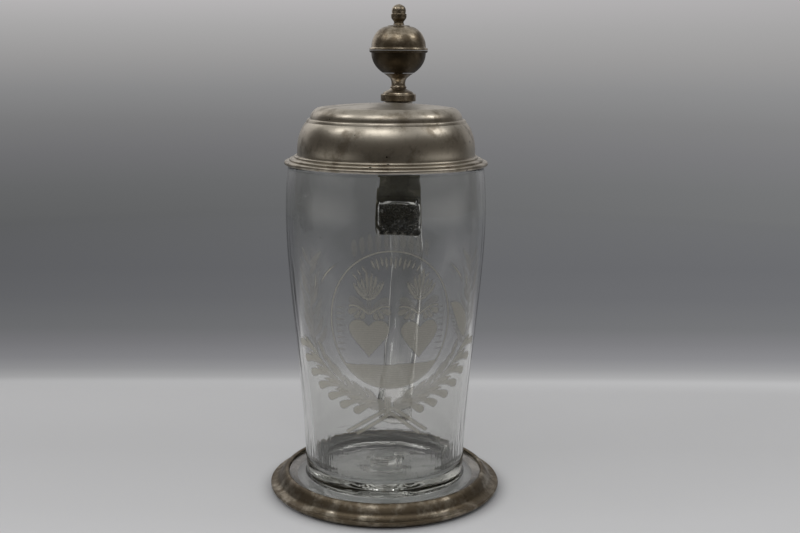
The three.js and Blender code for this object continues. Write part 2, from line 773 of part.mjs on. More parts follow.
const clearGlass = { color: 0xd5dbd6, roughness: 0.04, metalness: 0, transparent: true, opacity: 0.35 };
const lidPewter = { color: 0x8d867b, roughness: 0.36, metalness: 1 };
const darkPewter = { color: 0x665d51, roughness: 0.42, metalness: 1 };
const iron = { color: 0x4a4540, roughness: 0.5, metalness: 1 };

// The vessel's turning axis stands forward of the origin, so that the origin lies
// under the middle of the whole object
const vessel = new THREE.Group();
vessel.position.y = (ringRadius - handleBack) / 2;

function place(name, geometry, finish) {
  const mesh = new THREE.Mesh(geometry, new THREE.MeshStandardMaterial(finish));
  mesh.name = name;
  vessel.add(mesh);
}

place('glass_body', glassBody(), clearGlass);
place('glass_handle', glassHandle(), clearGlass);
place('foot_ring', footRing(), darkPewter);
place('handle_mount', handleMount(), darkPewter);
place('hinge_pin', hingePin(), iron);
place('lid', lid(), lidPewter);
place('lid_bracket', lidBracket(), darkPewter);
place('thumb_stem', thumbStem(), darkPewter);
place('ball_lower', ballLower(), darkPewter);
place('ball_upper', ballUpper(), darkPewter);
place('acorn_knop', acornKnop(), darkPewter);

const tankard = new THREE.Group();
tankard.add(vessel);

export default tankard;
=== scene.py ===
"""Lidded glass tankard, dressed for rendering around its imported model.

A blown glass vessel with a strap handle and a wheel-engraved wreath stands in a pewter
foot ring. Its turned pewter lid carries a ball thumb-rest and opens on a hinge at the back.
Profiles are in millimetres of radius and height; the finished meshes are in metres.
"""

import math
from functools import partial

import bmesh
import bpy
import numpy as np
from mathutils import Matrix, Vector, noise


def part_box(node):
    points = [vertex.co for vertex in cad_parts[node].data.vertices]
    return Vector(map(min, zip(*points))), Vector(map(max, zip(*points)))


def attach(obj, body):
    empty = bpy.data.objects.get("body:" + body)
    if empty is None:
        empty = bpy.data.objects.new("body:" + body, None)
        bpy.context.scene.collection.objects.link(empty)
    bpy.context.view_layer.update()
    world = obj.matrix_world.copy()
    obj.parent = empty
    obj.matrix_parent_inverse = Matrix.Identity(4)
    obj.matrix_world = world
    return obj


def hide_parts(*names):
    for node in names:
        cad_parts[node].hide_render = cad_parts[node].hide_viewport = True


bl_info = {
    "name": "Lidded Glass Tankard",
    "version": (1, 0, 0),
    "blender": (4, 5, 0),
    "location": "View3D > Sidebar > Tankard",
    "description": "Builds an engraved glass tankard with pewter lid and foot ring",
    "category": "Add Mesh",
}

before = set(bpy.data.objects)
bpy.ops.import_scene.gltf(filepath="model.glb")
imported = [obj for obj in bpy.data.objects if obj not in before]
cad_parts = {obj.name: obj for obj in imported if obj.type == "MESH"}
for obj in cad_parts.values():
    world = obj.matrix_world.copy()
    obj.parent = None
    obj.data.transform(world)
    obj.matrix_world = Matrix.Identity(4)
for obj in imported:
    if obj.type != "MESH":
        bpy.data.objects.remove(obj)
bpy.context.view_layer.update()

MM = 0.001
# Where the picture was taken from, solved from its outlines: azimuth from the front, distance
# from the axis and height in metres, and how far the camera looks down, aside and is rolled
VIEW_AZIMUTH = 8.0
CAMERA_DISTANCE = 0.6076
CAMERA_HEIGHT = 0.24442
CAMERA_TILT = 10.78
CAMERA_SWING = 0.76
CAMERA_ROLL = 0.42
# Distance of the lamps, and height of the point that they look at, in metres
LAMP_DISTANCE = 0.8
LAMP_AIM = 0.2


def node_centre(node):
    """Middle of a CAD node's box, in metres."""
    low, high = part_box(node)
    return (low + high) / 2


AXIS = Vector((0, node_centre("foot_ring").y, 0))
THUMB = Vector((0, node_centre("ball_upper").y, 0))
HINGE = node_centre("hinge_pin")


# Colours and nodes

SOFT = {"interpolation_type": "SMOOTHSTEP"}


def linear(colour):
    """Linear colour of an sRGB hex value. Three numbers are a linear colour already."""
    if not isinstance(colour, str):
        return (*colour[:3], 1.0)
    parts = [int(colour[i:i + 2], 16) / 255 for i in (1, 3, 5)]
    return (*(c / 12.92 if c <= 0.04045 else ((c + 0.055) / 1.055) ** 2.4 for c in parts), 1.0)


def add_node(tree, kind, *values, stops=(), **named):
    """Adds a node. Values fill its inputs in order. A name in small letters is a setting, and
    one with a capital is an input, with _ for a space. A node or a socket given as a value is
    joined. Stops are the places and colours of a ramp."""
    node = tree.nodes.new(kind)
    pairs = []
    for name, value in named.items():
        if name.islower():
            setattr(node, name, value)
        else:
            pairs.append((node.inputs[name.replace("_", " ")], value))
    pairs += zip([socket for socket in node.inputs if socket.enabled], values)
    for socket, value in pairs:
        if isinstance(value, bpy.types.Node):
            value = next(output for output in value.outputs if output.enabled)
        if isinstance(value, bpy.types.NodeSocket):
            tree.links.new(value, socket)
        else:
            socket.default_value = linear(value) if socket.type == "RGBA" else value
    for number, (place, colour) in enumerate(stops):
        elements = node.color_ramp.elements
        element = elements[number] if number < 2 else elements.new(place)
        element.position = place
        element.color = linear(colour)
    return node


def new_material(name):
    """Empty node material, the function that adds a node to it, and its Object coordinates."""
    material = bpy.data.materials.new(name)
    material.use_nodes = True
    material.node_tree.nodes.clear()
    add = partial(add_node, material.node_tree)
    return material, add, add("ShaderNodeTexCoord").outputs["Object"]


def round_axis(add, place, axis):
    """Place as seen from an upright axis, the same without its height, that height, and its
    distance from the axis."""
    centred = add("ShaderNodeMapping", Vector=place, Location=-axis)
    level = add("ShaderNodeVectorMath", centred, (1, 1, 0), operation="MULTIPLY")
    height = add("ShaderNodeSeparateXYZ", centred).outputs["Z"]
    return centred, level, height, add("ShaderNodeVectorMath", level, operation="LENGTH")


def picture_axes(add, place, scale=(1, 1, 1)):
    """How far a place is to the right of the axis, behind it and above the table, as the
    picture sees it, in parts of a size in metres."""
    turned = add(
        "ShaderNodeMapping", vector_type="TEXTURE", Vector=place, Location=AXIS, Scale=scale,
        Rotation=(0, 0, math.radians(VIEW_AZIMUTH)),
    )
    return add("ShaderNodeSeparateXYZ", turned).outputs


# Outlines

def arc(centre, radii, start, end, steps):
    """Points on an arc of an ellipse between two angles in degrees."""
    turns = [math.radians(start + (end - start) * k / steps) for k in range(steps + 1)]
    return [(centre[0] + radii[0] * math.cos(a), centre[1] + radii[1] * math.sin(a)) for a in turns]


def bend(points, steps):
    """Points on the Bezier curve of three or four control points."""
    result = []
    order = len(points) - 1
    for k in range(steps + 1):
        t = k / steps
        weights = [math.comb(order, i) * t ** i * (1 - t) ** (order - i) for i in range(order + 1)]
        result.append(tuple(sum(w * p[axis] for w, p in zip(weights, points)) for axis in (0, 1)))
    return result


def chain(outline, *bends):
    """Outline carried on by Bezier curves, each given as its further control points and its
    number of steps."""
    result = list(outline)
    for *points, steps in bends:
        result += bend([result[-1], *points], steps)[1:]
    return result


def softened(outline, radius, closed=False):
    """The same outline with its sharp corners rounded off."""
    points = [Vector(p) for p in outline]
    points = [p for i, p in enumerate(points) if i == 0 or (p - points[i - 1]).length > 1e-3]
    result = []
    for i, here in enumerate(points):
        back = points[i - 1] - here
        ahead = points[(i + 1) % len(points)] - here
        if not closed and i in (0, len(points) - 1) or math.pi - back.angle(ahead) < 0.35:
            result.append(tuple(here))
            continue
        turn = math.pi - back.angle(ahead)
        reach = min(radius * math.tan(turn / 2), back.length * 0.45, ahead.length * 0.45)
        start = here + back.normalized() * reach
        end = here + ahead.normalized() * reach
        result += bend([start, here, end], 4)
    return result


# Meshes

def turned_bmesh(profile, steps, closed=False):
    """Profile of radius and height, turned round the Z axis, in metres."""
    bm = bmesh.new()
    verts = [bm.verts.new((r * MM, 0, z * MM)) for r, z in profile]
    for first, second in zip(verts, verts[1:] + verts[:1] * closed):
        bm.edges.new((first, second))
    bmesh.ops.spin(
        bm, geom=bm.verts[:] + bm.edges[:], cent=(0, 0, 0), axis=(0, 0, 1),
        angle=math.tau, steps=steps, use_merge=True,
    )
    bmesh.ops.remove_doubles(bm, verts=bm.verts, dist=1e-6)
    bmesh.ops.recalc_face_normals(bm, faces=bm.faces)
    return bm


def finish_piece(name, bm, place=(0, 0, 0), sharp=40):
    """Object at the origin from a bmesh that is moved to its place in the row frame."""
    bmesh.ops.translate(bm, verts=bm.verts, vec=place)
    mesh = bpy.data.meshes.new(name)
    bm.to_mesh(mesh)
    bm.free()
    piece = bpy.data.objects.new(name, mesh)
    bpy.context.collection.objects.link(piece)
    shade(piece, sharp)
    return piece


def shade(piece, sharp):
    """Smooth shading, broken where faces meet at more than an angle in degrees."""
    piece.data.shade_smooth()
    piece.data.set_sharp_from_angle(angle=math.radians(sharp))


def set_modifiers(piece):
    """Turns the piece's live modifiers into its mesh."""
    evaluated = piece.evaluated_get(bpy.context.evaluated_depsgraph_get())
    mesh = bpy.data.meshes.new_from_object(evaluated)
    piece.modifiers.clear()
    piece.data = mesh


def dress(piece, material, body, slot, *nodes):
    """Gives a piece its material and its body, and hides the nodes that it stands for. The slot is not
    used.
    """
    piece.data.materials.clear()
    piece.data.materials.append(material)
    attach(piece, body)
    if nodes:
        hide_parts(*nodes)


# Glass vessel

def outer_wall():
    """Outer wall of the vessel from the foot fillet to the rim."""
    return chain(
        [(45.3, 16)], ((47.3, 75.0), (55.5, 119.7), (55.5, 160), 64),
        ((55.5, 176.1), (54, 185.8), 12),
    )


WALL_RADII, WALL_HEIGHTS = np.array(outer_wall()).T


def wall_radius(height):
    """Outer radius of the vessel at a height, or at each height of an array."""
    return np.interp(height, WALL_HEIGHTS, WALL_RADII)


def vessel_profile():
    """Foot, outer wall, fire-polished rim, inner wall and bottom, from axis to axis."""
    underside = chain(
        [(0, 8.8)], ((4.8, 8.7), (7.0, 8.2), (8.2, 6.2), 10),
        ((8.9, 4.9), (10.2, 4.9), (12.4, 6.5), 10), ((36, 6.4), (44.6, 4.9), 10),
    )
    foot = arc((55.2, 6.9), (2, 2), -90, 0, 5) + arc((55.2, 7.6), (2, 2), 0, 90, 5)
    foot += bend([(46.2, 9.6), (45.1, 9.7), (44.9, 10.6), (45.3, 16)], 10)
    rim = arc((52.4, 185.2), (1.6, 1.6), 20, 170, 10)
    inside = chain(
        [(50.8, 185.2)], ((52.2, 176.1), (52.3, 160), 12),
        ((52.3, 119.7), (43.4, 75.0), (41.5, 23), 60),
        ((41.2, 17.4), (38.8, 15.0), (34.0, 14.8), 14), ((20, 14.3), (12.5, 14.5), 12),
        ((9.6, 13.5), (8.7, 13.8), (8.4, 15.2), 10), ((7.9, 18.3), (5.5, 18.2), (0, 16.8), 12),
    )
    return underside + foot + outer_wall()[1:] + rim + inside[1:]


def blow_unevenly(bm, amount):
    """Moves the walls in and out a little, as hand-blown glass never is quite even."""
    foot_top, rim, floor_edge = 13, 184, 38
    for vert in bm.verts:
        x, y, z = vert.co / MM
        radius = math.hypot(x, y)
        if foot_top < z < 17 and radius < floor_edge:
            vert.co.z += amount * 1.6 * noise.noise(Vector((x / 7, y / 7, 0)))
        if z < foot_top or radius < floor_edge:
            continue
        inside = radius < wall_radius(z) - 1.6
        seed = 70 if inside else 0
        above = z - foot_top
        fade = min(1, above / 8) * min(1, max(0, (rim - z) / 10))
        broad = noise.noise(Vector((x / 34, y / 34, z / 60 + seed)))
        streak = noise.noise(Vector((x / 5.5, y / 5.5, z / 75 + seed)))
        ripple = noise.noise(Vector((x / 3.2, y / 3.2, z / 14 + seed))) * inside
        low = max(0, 1 - above / 30)
        shift = amount * fade * (0.8 * broad + 0.28 * streak + 0.7 * low * ripple)
        vert.co.x += x / radius * shift
        vert.co.y += y / radius * shift


def wall_place(angle, radius, height):
    """Point by degrees to the right of the picture's middle, radius and height, in metres."""
    turn = math.radians(VIEW_AZIMUTH + angle)
    return Vector((radius * math.sin(turn), -radius * math.cos(turn), height)) * MM


def add_seed(bm, angle, height, depth, size, stretch):
    """Small air bubble in the wall, its faces turned in because the air is inside."""
    place = wall_place(angle, float(wall_radius(height)) - depth, height)
    made = bmesh.ops.create_icosphere(bm, subdivisions=2, radius=size * MM / 2)["verts"]
    bmesh.ops.scale(bm, verts=made, vec=(1, 1, stretch))
    bmesh.ops.translate(bm, verts=made, vec=place)
    faces = list({face for vert in made for face in vert.link_faces})
    bmesh.ops.reverse_faces(bm, faces=faces)


def strap_ring(bm, top, under, half_width, corner):
    """Section of the strap between its top line and its under line, in depth and height."""
    ring = bmesh.ops.create_circle(bm, segments=40, radius=1)["verts"]
    top, under = Vector((0, *top)), Vector((0, *under))
    middle = (top + under) / 2
    across = (top - under) / 2
    for vert in ring:
        power = 2 / corner
        wide = math.copysign(abs(vert.co.x) ** power, vert.co.x)
        thick = math.copysign(abs(vert.co.y) ** power, vert.co.y)
        vert.co = (middle + across * thick + Vector((half_width * wide, 0, 0))) * MM
    return list({edge for vert in ring for edge in vert.link_edges})


def loft_strap(name, stations):
    """Closed strap through a row of sections."""
    bm = bmesh.new()
    rings = [strap_ring(bm, *station) for station in stations]
    for first, second in zip(rings, rings[1:]):
        bmesh.ops.bridge_loops(bm, edges=first + second)
    bmesh.ops.contextual_create(bm, geom=rings[0])
    bmesh.ops.contextual_create(bm, geom=rings[-1])
    bmesh.ops.recalc_face_normals(bm, faces=bm.faces)
    return finish_piece(name, bm, AXIS)


def handle_stations():
    """Sections of the strap from inside the upper wall, round the grip, to the lower pad."""
    top = bend([(53.5, 173.0), (55.8, 171.5), (57.2, 154.0), (64, 154.6)], 10)
    under = bend([(53.5, 137.4), (55.8, 138.6), (57.2, 140.9), (64, 140.9)], 10)
    top = chain(
        top + [(74, 156.0)], ((93.3, 156.2), (107.3, 140.0), (107.3, 115.5), 18),
        ((107.3, 79.3), (83.6, 59.0), (44.4, 28.5), 26),
    )
    under = chain(
        under + [(74, 140.9)], ((89.3, 140.9), (97.6, 130.7), (97.6, 115.5), 18),
        ((97.6, 90.9), (80.6, 67.7), (45.0, 44.5), 26),
    )
    stations = []
    for number, pair in enumerate(zip(top, under)):
        along = number / (len(top) - 1)
        root = max(0, 1 - along / 0.1)
        flare = root ** 2 * 3.0 + max(0, along - 0.85) / 0.15 * 0.4
        sway = 0.35 * math.sin(along * 31) + 0.2 * math.sin(along * 53 + 1)
        stations.append((*pair, 11.0 + flare + sway, 2.15 + 5.8 * root))
    return stations


def tail_stations():
    """Sections of the thin tail that curls away from the wall below the pad."""
    middles = [(47.5, 40), (48.6, 34)] + arc((55.8, 27.5), (6.2, 6.6), 178, 395, 22)
    stations = []
    for number, here in enumerate(middles):
        before = Vector(middles[max(0, number - 1)])
        after = Vector(middles[min(len(middles) - 1, number + 1)])
        side = (after - before).normalized().orthogonal()
        along = number / (len(middles) - 1)
        half = 2.6 - 0.7 * along
        top = Vector(here) - side * half
        under = Vector(here) + side * half
        stations.append((tuple(top), tuple(under), 10.8 - 1.3 * along ** 3, 2.6))
    return stations


def fuse(piece, other):
    """Melts another closed piece into this one."""
    union = piece.modifiers.new("fused", "BOOLEAN")
    union.operation = "UNION"
    union.solver = "EXACT"
    union.object = other
    set_modifiers(piece)
    bpy.data.objects.remove(other)


def clasp_shade_sheet():
    """Sheet on the outer wall where the strap was pressed on: a dark film of painted shade over the
    handle's root.
    """
    bm = bmesh.new()
    bmesh.ops.create_grid(bm, x_segments=24, y_segments=16, size=1)
    for vert in bm.verts:
        x = 0.7 + 12.0 * vert.co.x
        z = 147.3 + 9.3 * vert.co.y
        radius = float(wall_radius(z)) + 0.15
        vert.co = Vector((x, math.sqrt(radius ** 2 - x ** 2), z)) * MM
    return finish_piece("clasp_shade_sheet", bm, AXIS)


def painted_clasp_shade():
    """Painted shade: a dark brown film, mostly opaque, with small thin places in it."""
    material, add, place = new_material("Painted clasp shade")
    # Specks of about 1 mm
    specks = add("ShaderNodeTexNoise", Vector=place, Scale=1000.0, Detail=4.0)
    cover = add("ShaderNodeMapRange", specks, 0.3, 0.52, 0.7, 0.97)
    dirt = add(
        "ShaderNodeBsdfPrincipled", Base_Color="#3a362d", Roughness=0.8, Alpha=cover,
        Specular_IOR_Level=0.1,
    )
    add("ShaderNodeOutputMaterial", Surface=dirt)
    return material


def corner_shade_film():
    """Film in the corner of the bottom, round the back and the sides, that paints in the dark band of
    shade there.
    """
    corner = bend([(41.7, 25), (41.1, 17.5), (38.8, 15.1), (32.5, 14.9)], 16)
    bm = bmesh.new()
    verts = [bm.verts.new(Vector((r, 0, z)) * MM) for r, z in corner]
    edges = [bm.edges.new(pair) for pair in zip(verts, verts[1:])]
    bmesh.ops.rotate(
        bm, verts=verts, matrix=Matrix.Rotation(math.radians(VIEW_AZIMUTH - 35), 3, "Z"),
    )
    bmesh.ops.spin(
        bm, geom=verts + edges, cent=(0, 0, 0), axis=(0, 0, 1),
        angle=math.radians(250), steps=180,
    )
    return finish_piece("corner_shade_film", bm, AXIS)


def painted_corner_shade():
    """Painted shade: a grey-brown film, thickest in the corner and left in fine strokes round it."""
    material, add, place = new_material("Painted corner shade")
    _, level, height, radius = round_axis(add, place, AXIS)
    # Strokes 1.5 mm apart that follow the corner round for about 10 mm
    across = add("ShaderNodeCombineXYZ", X=radius, Z=height)
    drawn = add("ShaderNodeVectorMath", level, (0.14, 0.14, 0), across, operation="MULTIPLY_ADD")
    streaks = add("ShaderNodeTexNoise", Vector=drawn, Scale=620.0, Detail=3.0)
    corner = add("ShaderNodeMapRange", height, 0.0149, 0.025, 0.28, -0.22)
    thick = add("ShaderNodeMath", streaks, corner)
    cover = add("ShaderNodeMapRange", thick, 0.42, 0.74, 0.0, 0.72, **SOFT)
    film = add(
        "ShaderNodeBsdfPrincipled", Base_Color="#3b3a34", Roughness=0.7, Alpha=cover,
        Specular_IOR_Level=0.2,
    )
    add("ShaderNodeOutputMaterial", Surface=film)
    return material


def blown_glass(settings):
    """Blown potash glass: clear with a trace of grey-green from iron, which shows where the
    glass is thick. Fire-polished, so it is smooth, with faint cords drawn down the wall.
    Lamps shine through it, as they do through thin glass."""
    material, add, place = new_material("Blown potash glass")
    # Cords: veins of slightly different glass, 6 mm apart and ten times as long
    drawn = add("ShaderNodeMapping", Vector=place, Scale=(1, 1, 0.1))
    cords = add("ShaderNodeTexNoise", Vector=drawn, Scale=160.0, Detail=2.0)
    corded = add("ShaderNodeBump", Strength=0.35, Distance=0.0001, Height=cords)
    # Chill ripples where the blown bubble met the cold mould plate: 2 mm apart, low down
    chilled = add("ShaderNodeMapping", Vector=place, Scale=(1, 1, 0.07))
    ripples = add("ShaderNodeTexNoise", Vector=chilled, Scale=500.0, Detail=1.0)
    height = add("ShaderNodeSeparateXYZ", place).outputs["Z"]
    fading = add("ShaderNodeMapRange", height, 0.02, 0.055, 0.00018, 0.00001, **SOFT)
    above = add("ShaderNodeMapRange", height, 0.0152, 0.019, 0.06, 1.0, **SOFT)
    depth = add("ShaderNodeMath", fading, above, operation="MULTIPLY")
    rippled = add("ShaderNodeBump", Strength=1.0, Distance=depth, Height=ripples, Normal=corded)
    glass = add(
        "ShaderNodeBsdfPrincipled", Base_Color=settings.glass_colour, Roughness=0.0, IOR=1.51,
        Transmission_Weight=1.0, Normal=rippled,
    )
    clear = add("ShaderNodeBsdfTransparent", Color="#f3f4f3")
    path = add("ShaderNodeLightPath").outputs
    lamps = add("ShaderNodeMath", path["Is Shadow Ray"], path["Is Diffuse Ray"], operation="MAXIMUM")
    both = add("ShaderNodeMixShader", lamps, glass, clear)
    iron = add("ShaderNodeVolumeAbsorption", Color=settings.depth_colour, Density=12.0)
    add("ShaderNodeOutputMaterial", Surface=both, Volume=iron)
    return material


# Engraving

class CutWall:
    """How deep the engraver's wheel has cut a strip of the front wall. Places on it are
    degrees to the right of the picture's middle and millimetres above the table. The wheel
    dabs every step millimetres along a stroke, a cut fades over its edge, and degree is what
    one degree takes up of the wall."""
    step = 0.3
    edge = 0.6
    degree = 0.87

    def __init__(self, left, right, low, high, pitch):
        columns = round(math.radians(right - left) * 50 / pitch)
        rows = round((high - low) / pitch)
        self.angles = np.linspace(left, right, columns + 1)
        self.heights = np.linspace(low, high, rows + 1)
        self.radii = wall_radius(self.heights)
        self.depth = np.zeros((rows + 1, columns + 1))

    def stroke(self, course, width, depth=1.0, form="even", fade=1.0):
        """A stroke of the wheel along a course, from a share of its depth to all of it. A depth below
        zero leaves a bare gap, and one above 1 is a painted highlight: a bright line for the light
        caught on a polished cut edge."""
        steps = 3 * len(course) if len(course) > 2 else 4
        line = np.array(bend(course, steps) if len(course) < 5 else course)
        length = np.hypot(*(np.diff(line, axis=0) * (self.degree, 1)).T)
        total = length.sum()
        reached = np.concatenate(([0], np.cumsum(length)))
        for t in np.linspace(0, 1, max(2, int(total / self.step))):
            angle = np.interp(t * total, reached, line[:, 0])
            height = np.interp(t * total, reached, line[:, 1])
            half = width / 2 * STROKE_FORMS[form](t)
            reach = half + 1
            turn = math.degrees(reach / 45)
            rows = slice(*np.searchsorted(self.heights, (height - reach, height + reach)))
            columns = slice(*np.searchsorted(self.angles, (angle - turn, angle + turn)))
            run = np.radians(self.angles[columns] - angle)[None, :] * self.radii[rows, None]
            rise = (self.heights[rows] - height)[:, None]
            inside = np.clip((half + self.edge / 2 - np.hypot(run, rise)) / self.edge, 0, 1)
            area = self.depth[rows, columns]
            here = inside * depth * (fade + (1 - fade) * t)
            if depth < 0:
                self.depth[rows, columns] = area * (1 + here)
            else:
                self.depth[rows, columns] = np.maximum(area, here)

    def fill(self, outline, depth, grain=0.0):
        """A ground area inside an outline, with the faint lines of the wheel's passes."""
        angles, heights = np.meshgrid(self.angles, self.heights)
        inside = np.zeros(angles.shape, bool)
        for (a1, h1), (a2, h2) in zip(outline, outline[1:] + outline[:1]):
            if h1 == h2:
                continue
            crosses = (heights >= min(h1, h2)) & (heights < max(h1, h2))
            meets = a1 + (heights - h1) / (h2 - h1) * (a2 - a1)
            inside ^= crosses & (angles < meets)
        passes = 1 + grain * np.sin(heights * 5.2 + 2 * np.sin(angles * 0.21))
        self.depth = np.maximum(self.depth, inside * depth * passes)


STROKE_FORMS = {
    "even": lambda t: 1.0,
    "lens": lambda t: math.sin(math.pi * min(0.98, max(0.02, t))) ** 0.7,
    "paddle": lambda t: 0.36 + 0.64 * min(1, t / 0.9) ** 1.6,
    "point": lambda t: (1 - t) ** 0.6,
}


def ellipse_course(centre, half_arc, half_height, start, end, steps):
    """Part of the medallion's oval, in degrees and millimetres."""
    turns = np.radians(np.linspace(start, end, steps))
    heights = centre[1] + half_height * np.sin(turns)
    run = np.degrees(half_arc * np.cos(turns) / wall_radius(heights))
    return list(zip(centre[0] + run, heights))


def cut_medallion(wall):
    """Oval line round the hearts, the ground below them, and the short rays along it."""
    middle = (3.2, 109.9)
    oval = ellipse_course(middle, 32.8, 37.2, -160, 200, 120)
    wall.stroke(oval, 0.95, 0.95)
    wall.fill([p for p in oval if p[1] < 86.8], 0.9, 0.06)
    for side in (-1, 1):
        for k in range(8):
            height = 93 + 3.3 * k
            inner = ellipse_course(middle, 30.2, 34.5, 0, 90, 60)
            edge = np.interp(height, [h for a, h in inner], [a for a, h in inner])
            start = middle[0] + side * (abs(edge - middle[0]) - 1.2)
            ends = [(start, height), (start - side * 4.6, height + 0.2)]
            wall.stroke(ends, 0.8, 0.9 if side < 0 else 0.6, "point")
    for turn in (48, 54, 60, 66, 121, 127, 133):
        outer = ellipse_course(middle, 30.2, 34.4, turn, turn, 1)[0]
        inner = ellipse_course(middle, 25.8, 29.8, turn, turn, 1)[0]
        wall.stroke([outer, inner], 0.85, 1.15, "lens")
    for k in range(9):
        turn = 71 + 4.9 * k
        outer = ellipse_course(middle, 30.8, 35.0, turn, turn, 1)[0]
        inner = ellipse_course(middle, 24.2, 29.2 - 1.6 * (k % 2), turn, turn, 1)[0]
        wall.stroke([outer, inner], 1.45, 0.82, "lens")


def cut_glory(wall):
    """Upright petals in an arch above the medallion."""
    for k in range(10):
        angle = -17.2 + 4.35 * k
        rise = 1 - ((angle - 2.4) / 24) ** 2
        foot = 141.5 + 6.2 * rise
        wall.stroke([(angle + 0.4, foot), (angle, foot + 9 + rise)], 3.0, 0.42, "lens")
        wall.stroke([(angle + 1.5, foot + 1), (angle + 1.2, foot + 8)], 0.6, 0.62, "lens")
        wall.stroke([(angle - 2.0, foot), (angle - 2.2, foot + 7.5)], 0.5, -0.8, "lens")


def strokes_from(wall, angle=0, height=0, side=1):
    """Stroke function for courses that are given from a place on the wall, and that run to
    the left where they say right if side is -1."""
    def cut(course, *form):
        wall.stroke([(angle + side * a, height + h) for a, h in course], *form)
    return cut


def cut_flower(wall, angle, height, lean, side):
    """Tulip with a fan of pointed petals on a double stem, a lobed leaf on each side."""
    cut = strokes_from(wall, angle, height, side)
    tips = [
        (reach + lean * 0.6, 8.6 + 6.2 * math.cos(reach * 0.17) ** 3 + 1.2 * (k % 2))
        for k, reach in enumerate((-8.8, -6.6, -4.2, -1.4, 1.4, 4.0, 6.2, 8.0))
    ]
    for k, (a, h) in enumerate(tips):
        cut([((k - 3.5) * 0.62, 0.4), (a * 0.72, h * 0.38), (a, h)], 2.3, 0.78, "lens")
    for (left, before), (right, after) in zip(tips, tips[1:]):
        a, h = (left + right) / 2, (before + after) / 2
        cut([(a * 0.34, 2.2), (a * 0.72, h * 0.5), (a, h)], 0.45, -0.5, "lens")
    for a, h in tips[1::2]:
        cut([(a * 0.14, 1.6), (a * 0.72, h * 0.4), (a * 0.98, h * 0.9)], 0.4, 0.5, "lens")
    # Painted highlight on the cup's rim
    cut([(-3.2, 0.7), (0, -0.9), (3.4, 0.9)], 0.9, 1.1)
    for offset in (-0.75, 0.75):
        cut([(offset, -0.8), (offset * 0.8, -7.4)], 0.6, 0.95)
    for hand in (-1, 1):
        cut([(hand * 1.6, -6.4), (hand * 4.6, -1.4), (hand * 9.4, -0.8)], 4.2, 0.5, "paddle")
        for reach, droop in ((4.0, -9.6), (7.2, -9.2), (10.6, -7.2)):
            lobe = [(hand * 1.4, -7.2), (hand * reach * 0.8, -5.4), (hand * reach, droop)]
            cut(lobe, 3.4, 0.78, "paddle", 0.6)
        for reach in (5.8, 9.4):
            cut([(hand * reach * 0.7, -6.6), (hand * reach, -10.4)], 0.5, -0.8, "point")
        # A painted highlight line along the crest of the leaf
        crest = [(hand * 0.6, -8.0), (hand * 4.2, -5.0), (hand * 8.4, -2.8), (hand * 11.4, -4.2)]
        cut(crest, 0.85, 1.2)


def cut_heart(wall, angle, tip_height, half_width, height):
    """Heart, its point down, ground all over."""
    def half(side):
        edge = chain(
            [(0, 0)], ((4.2, 5.4), (11.4, 10.6), (11.4, 15.4), 12),
            ((11.4, 20.6), (4.2, 22.8), (0.3, 17.4), 12),
        )
        wide, high = half_width / 11.2, height / 20.8
        return [(angle + side * a * wide, tip_height + h * high) for a, h in edge]

    wall.fill(half(1) + half(-1)[::-1], 0.86, 0.06)
    wall.stroke([(angle - 0.6, tip_height + 4), (angle, tip_height + 15)], 0.6, 0.95, "lens")


def cut_wreath(wall, mirror):
    """One branch of the wreath: paddle leaves outwards, feathers between them and blades
    inwards. The right-hand branch is the left one mirrored, and stands a little higher."""
    cut = strokes_from(wall, 5.4, 0.4, -1) if mirror else strokes_from(wall)
    tips = np.array(bend([(-17.8, 59.4), (-38, 62.0), (-54, 74.5), (-63, 91)], 60))
    bases = np.array(bend([(-4, 63.2), (-20, 64.4), (-36, 76), (-45.5, 87)], 60))
    cut(bases[::12], 7.2, 0.72, "point")
    for tip, base in zip(tips[::10], bases[::10]):
        bow = tip * 0.42 + base * 0.58 + (0, 2.4)
        cut([base, bow, tip + (3.2, 1.3), tip], 4.4, 0.95, "paddle", 0.8)
        cut([base + (-1, 1.4), bow + (0, 2.0), tip + (3.4, 4.4)], 2.0, 0.95, "lens")
        # A painted highlight line along the leaf's edge
        cut([base + (-3, 0.8), bow + (-1, 1.1), tip + (5.2, 3.0)], 0.5, 1.5, "lens")
    for k, base in enumerate(bases[5:55:7]):
        swing = math.radians(126 - 3.4 * k + 5 * (k % 3))
        length = 11 + 2.6 * math.sin(k * 1.9)
        tip = base + (length * math.cos(swing) * 1.2, length * math.sin(swing)) + (2.4, 0)
        start = base + (3.2, 0.6)
        bow = (start + tip) / 2 + (1.6, 0)
        cut([start, bow, tip], 3.2, 0.7, "lens")
        if k % 3 != 1:
            # A painted highlight line along some blades
            cut([start + (0.8, 0), bow + (0.9, 0), tip], 0.5, 1.2, "lens")


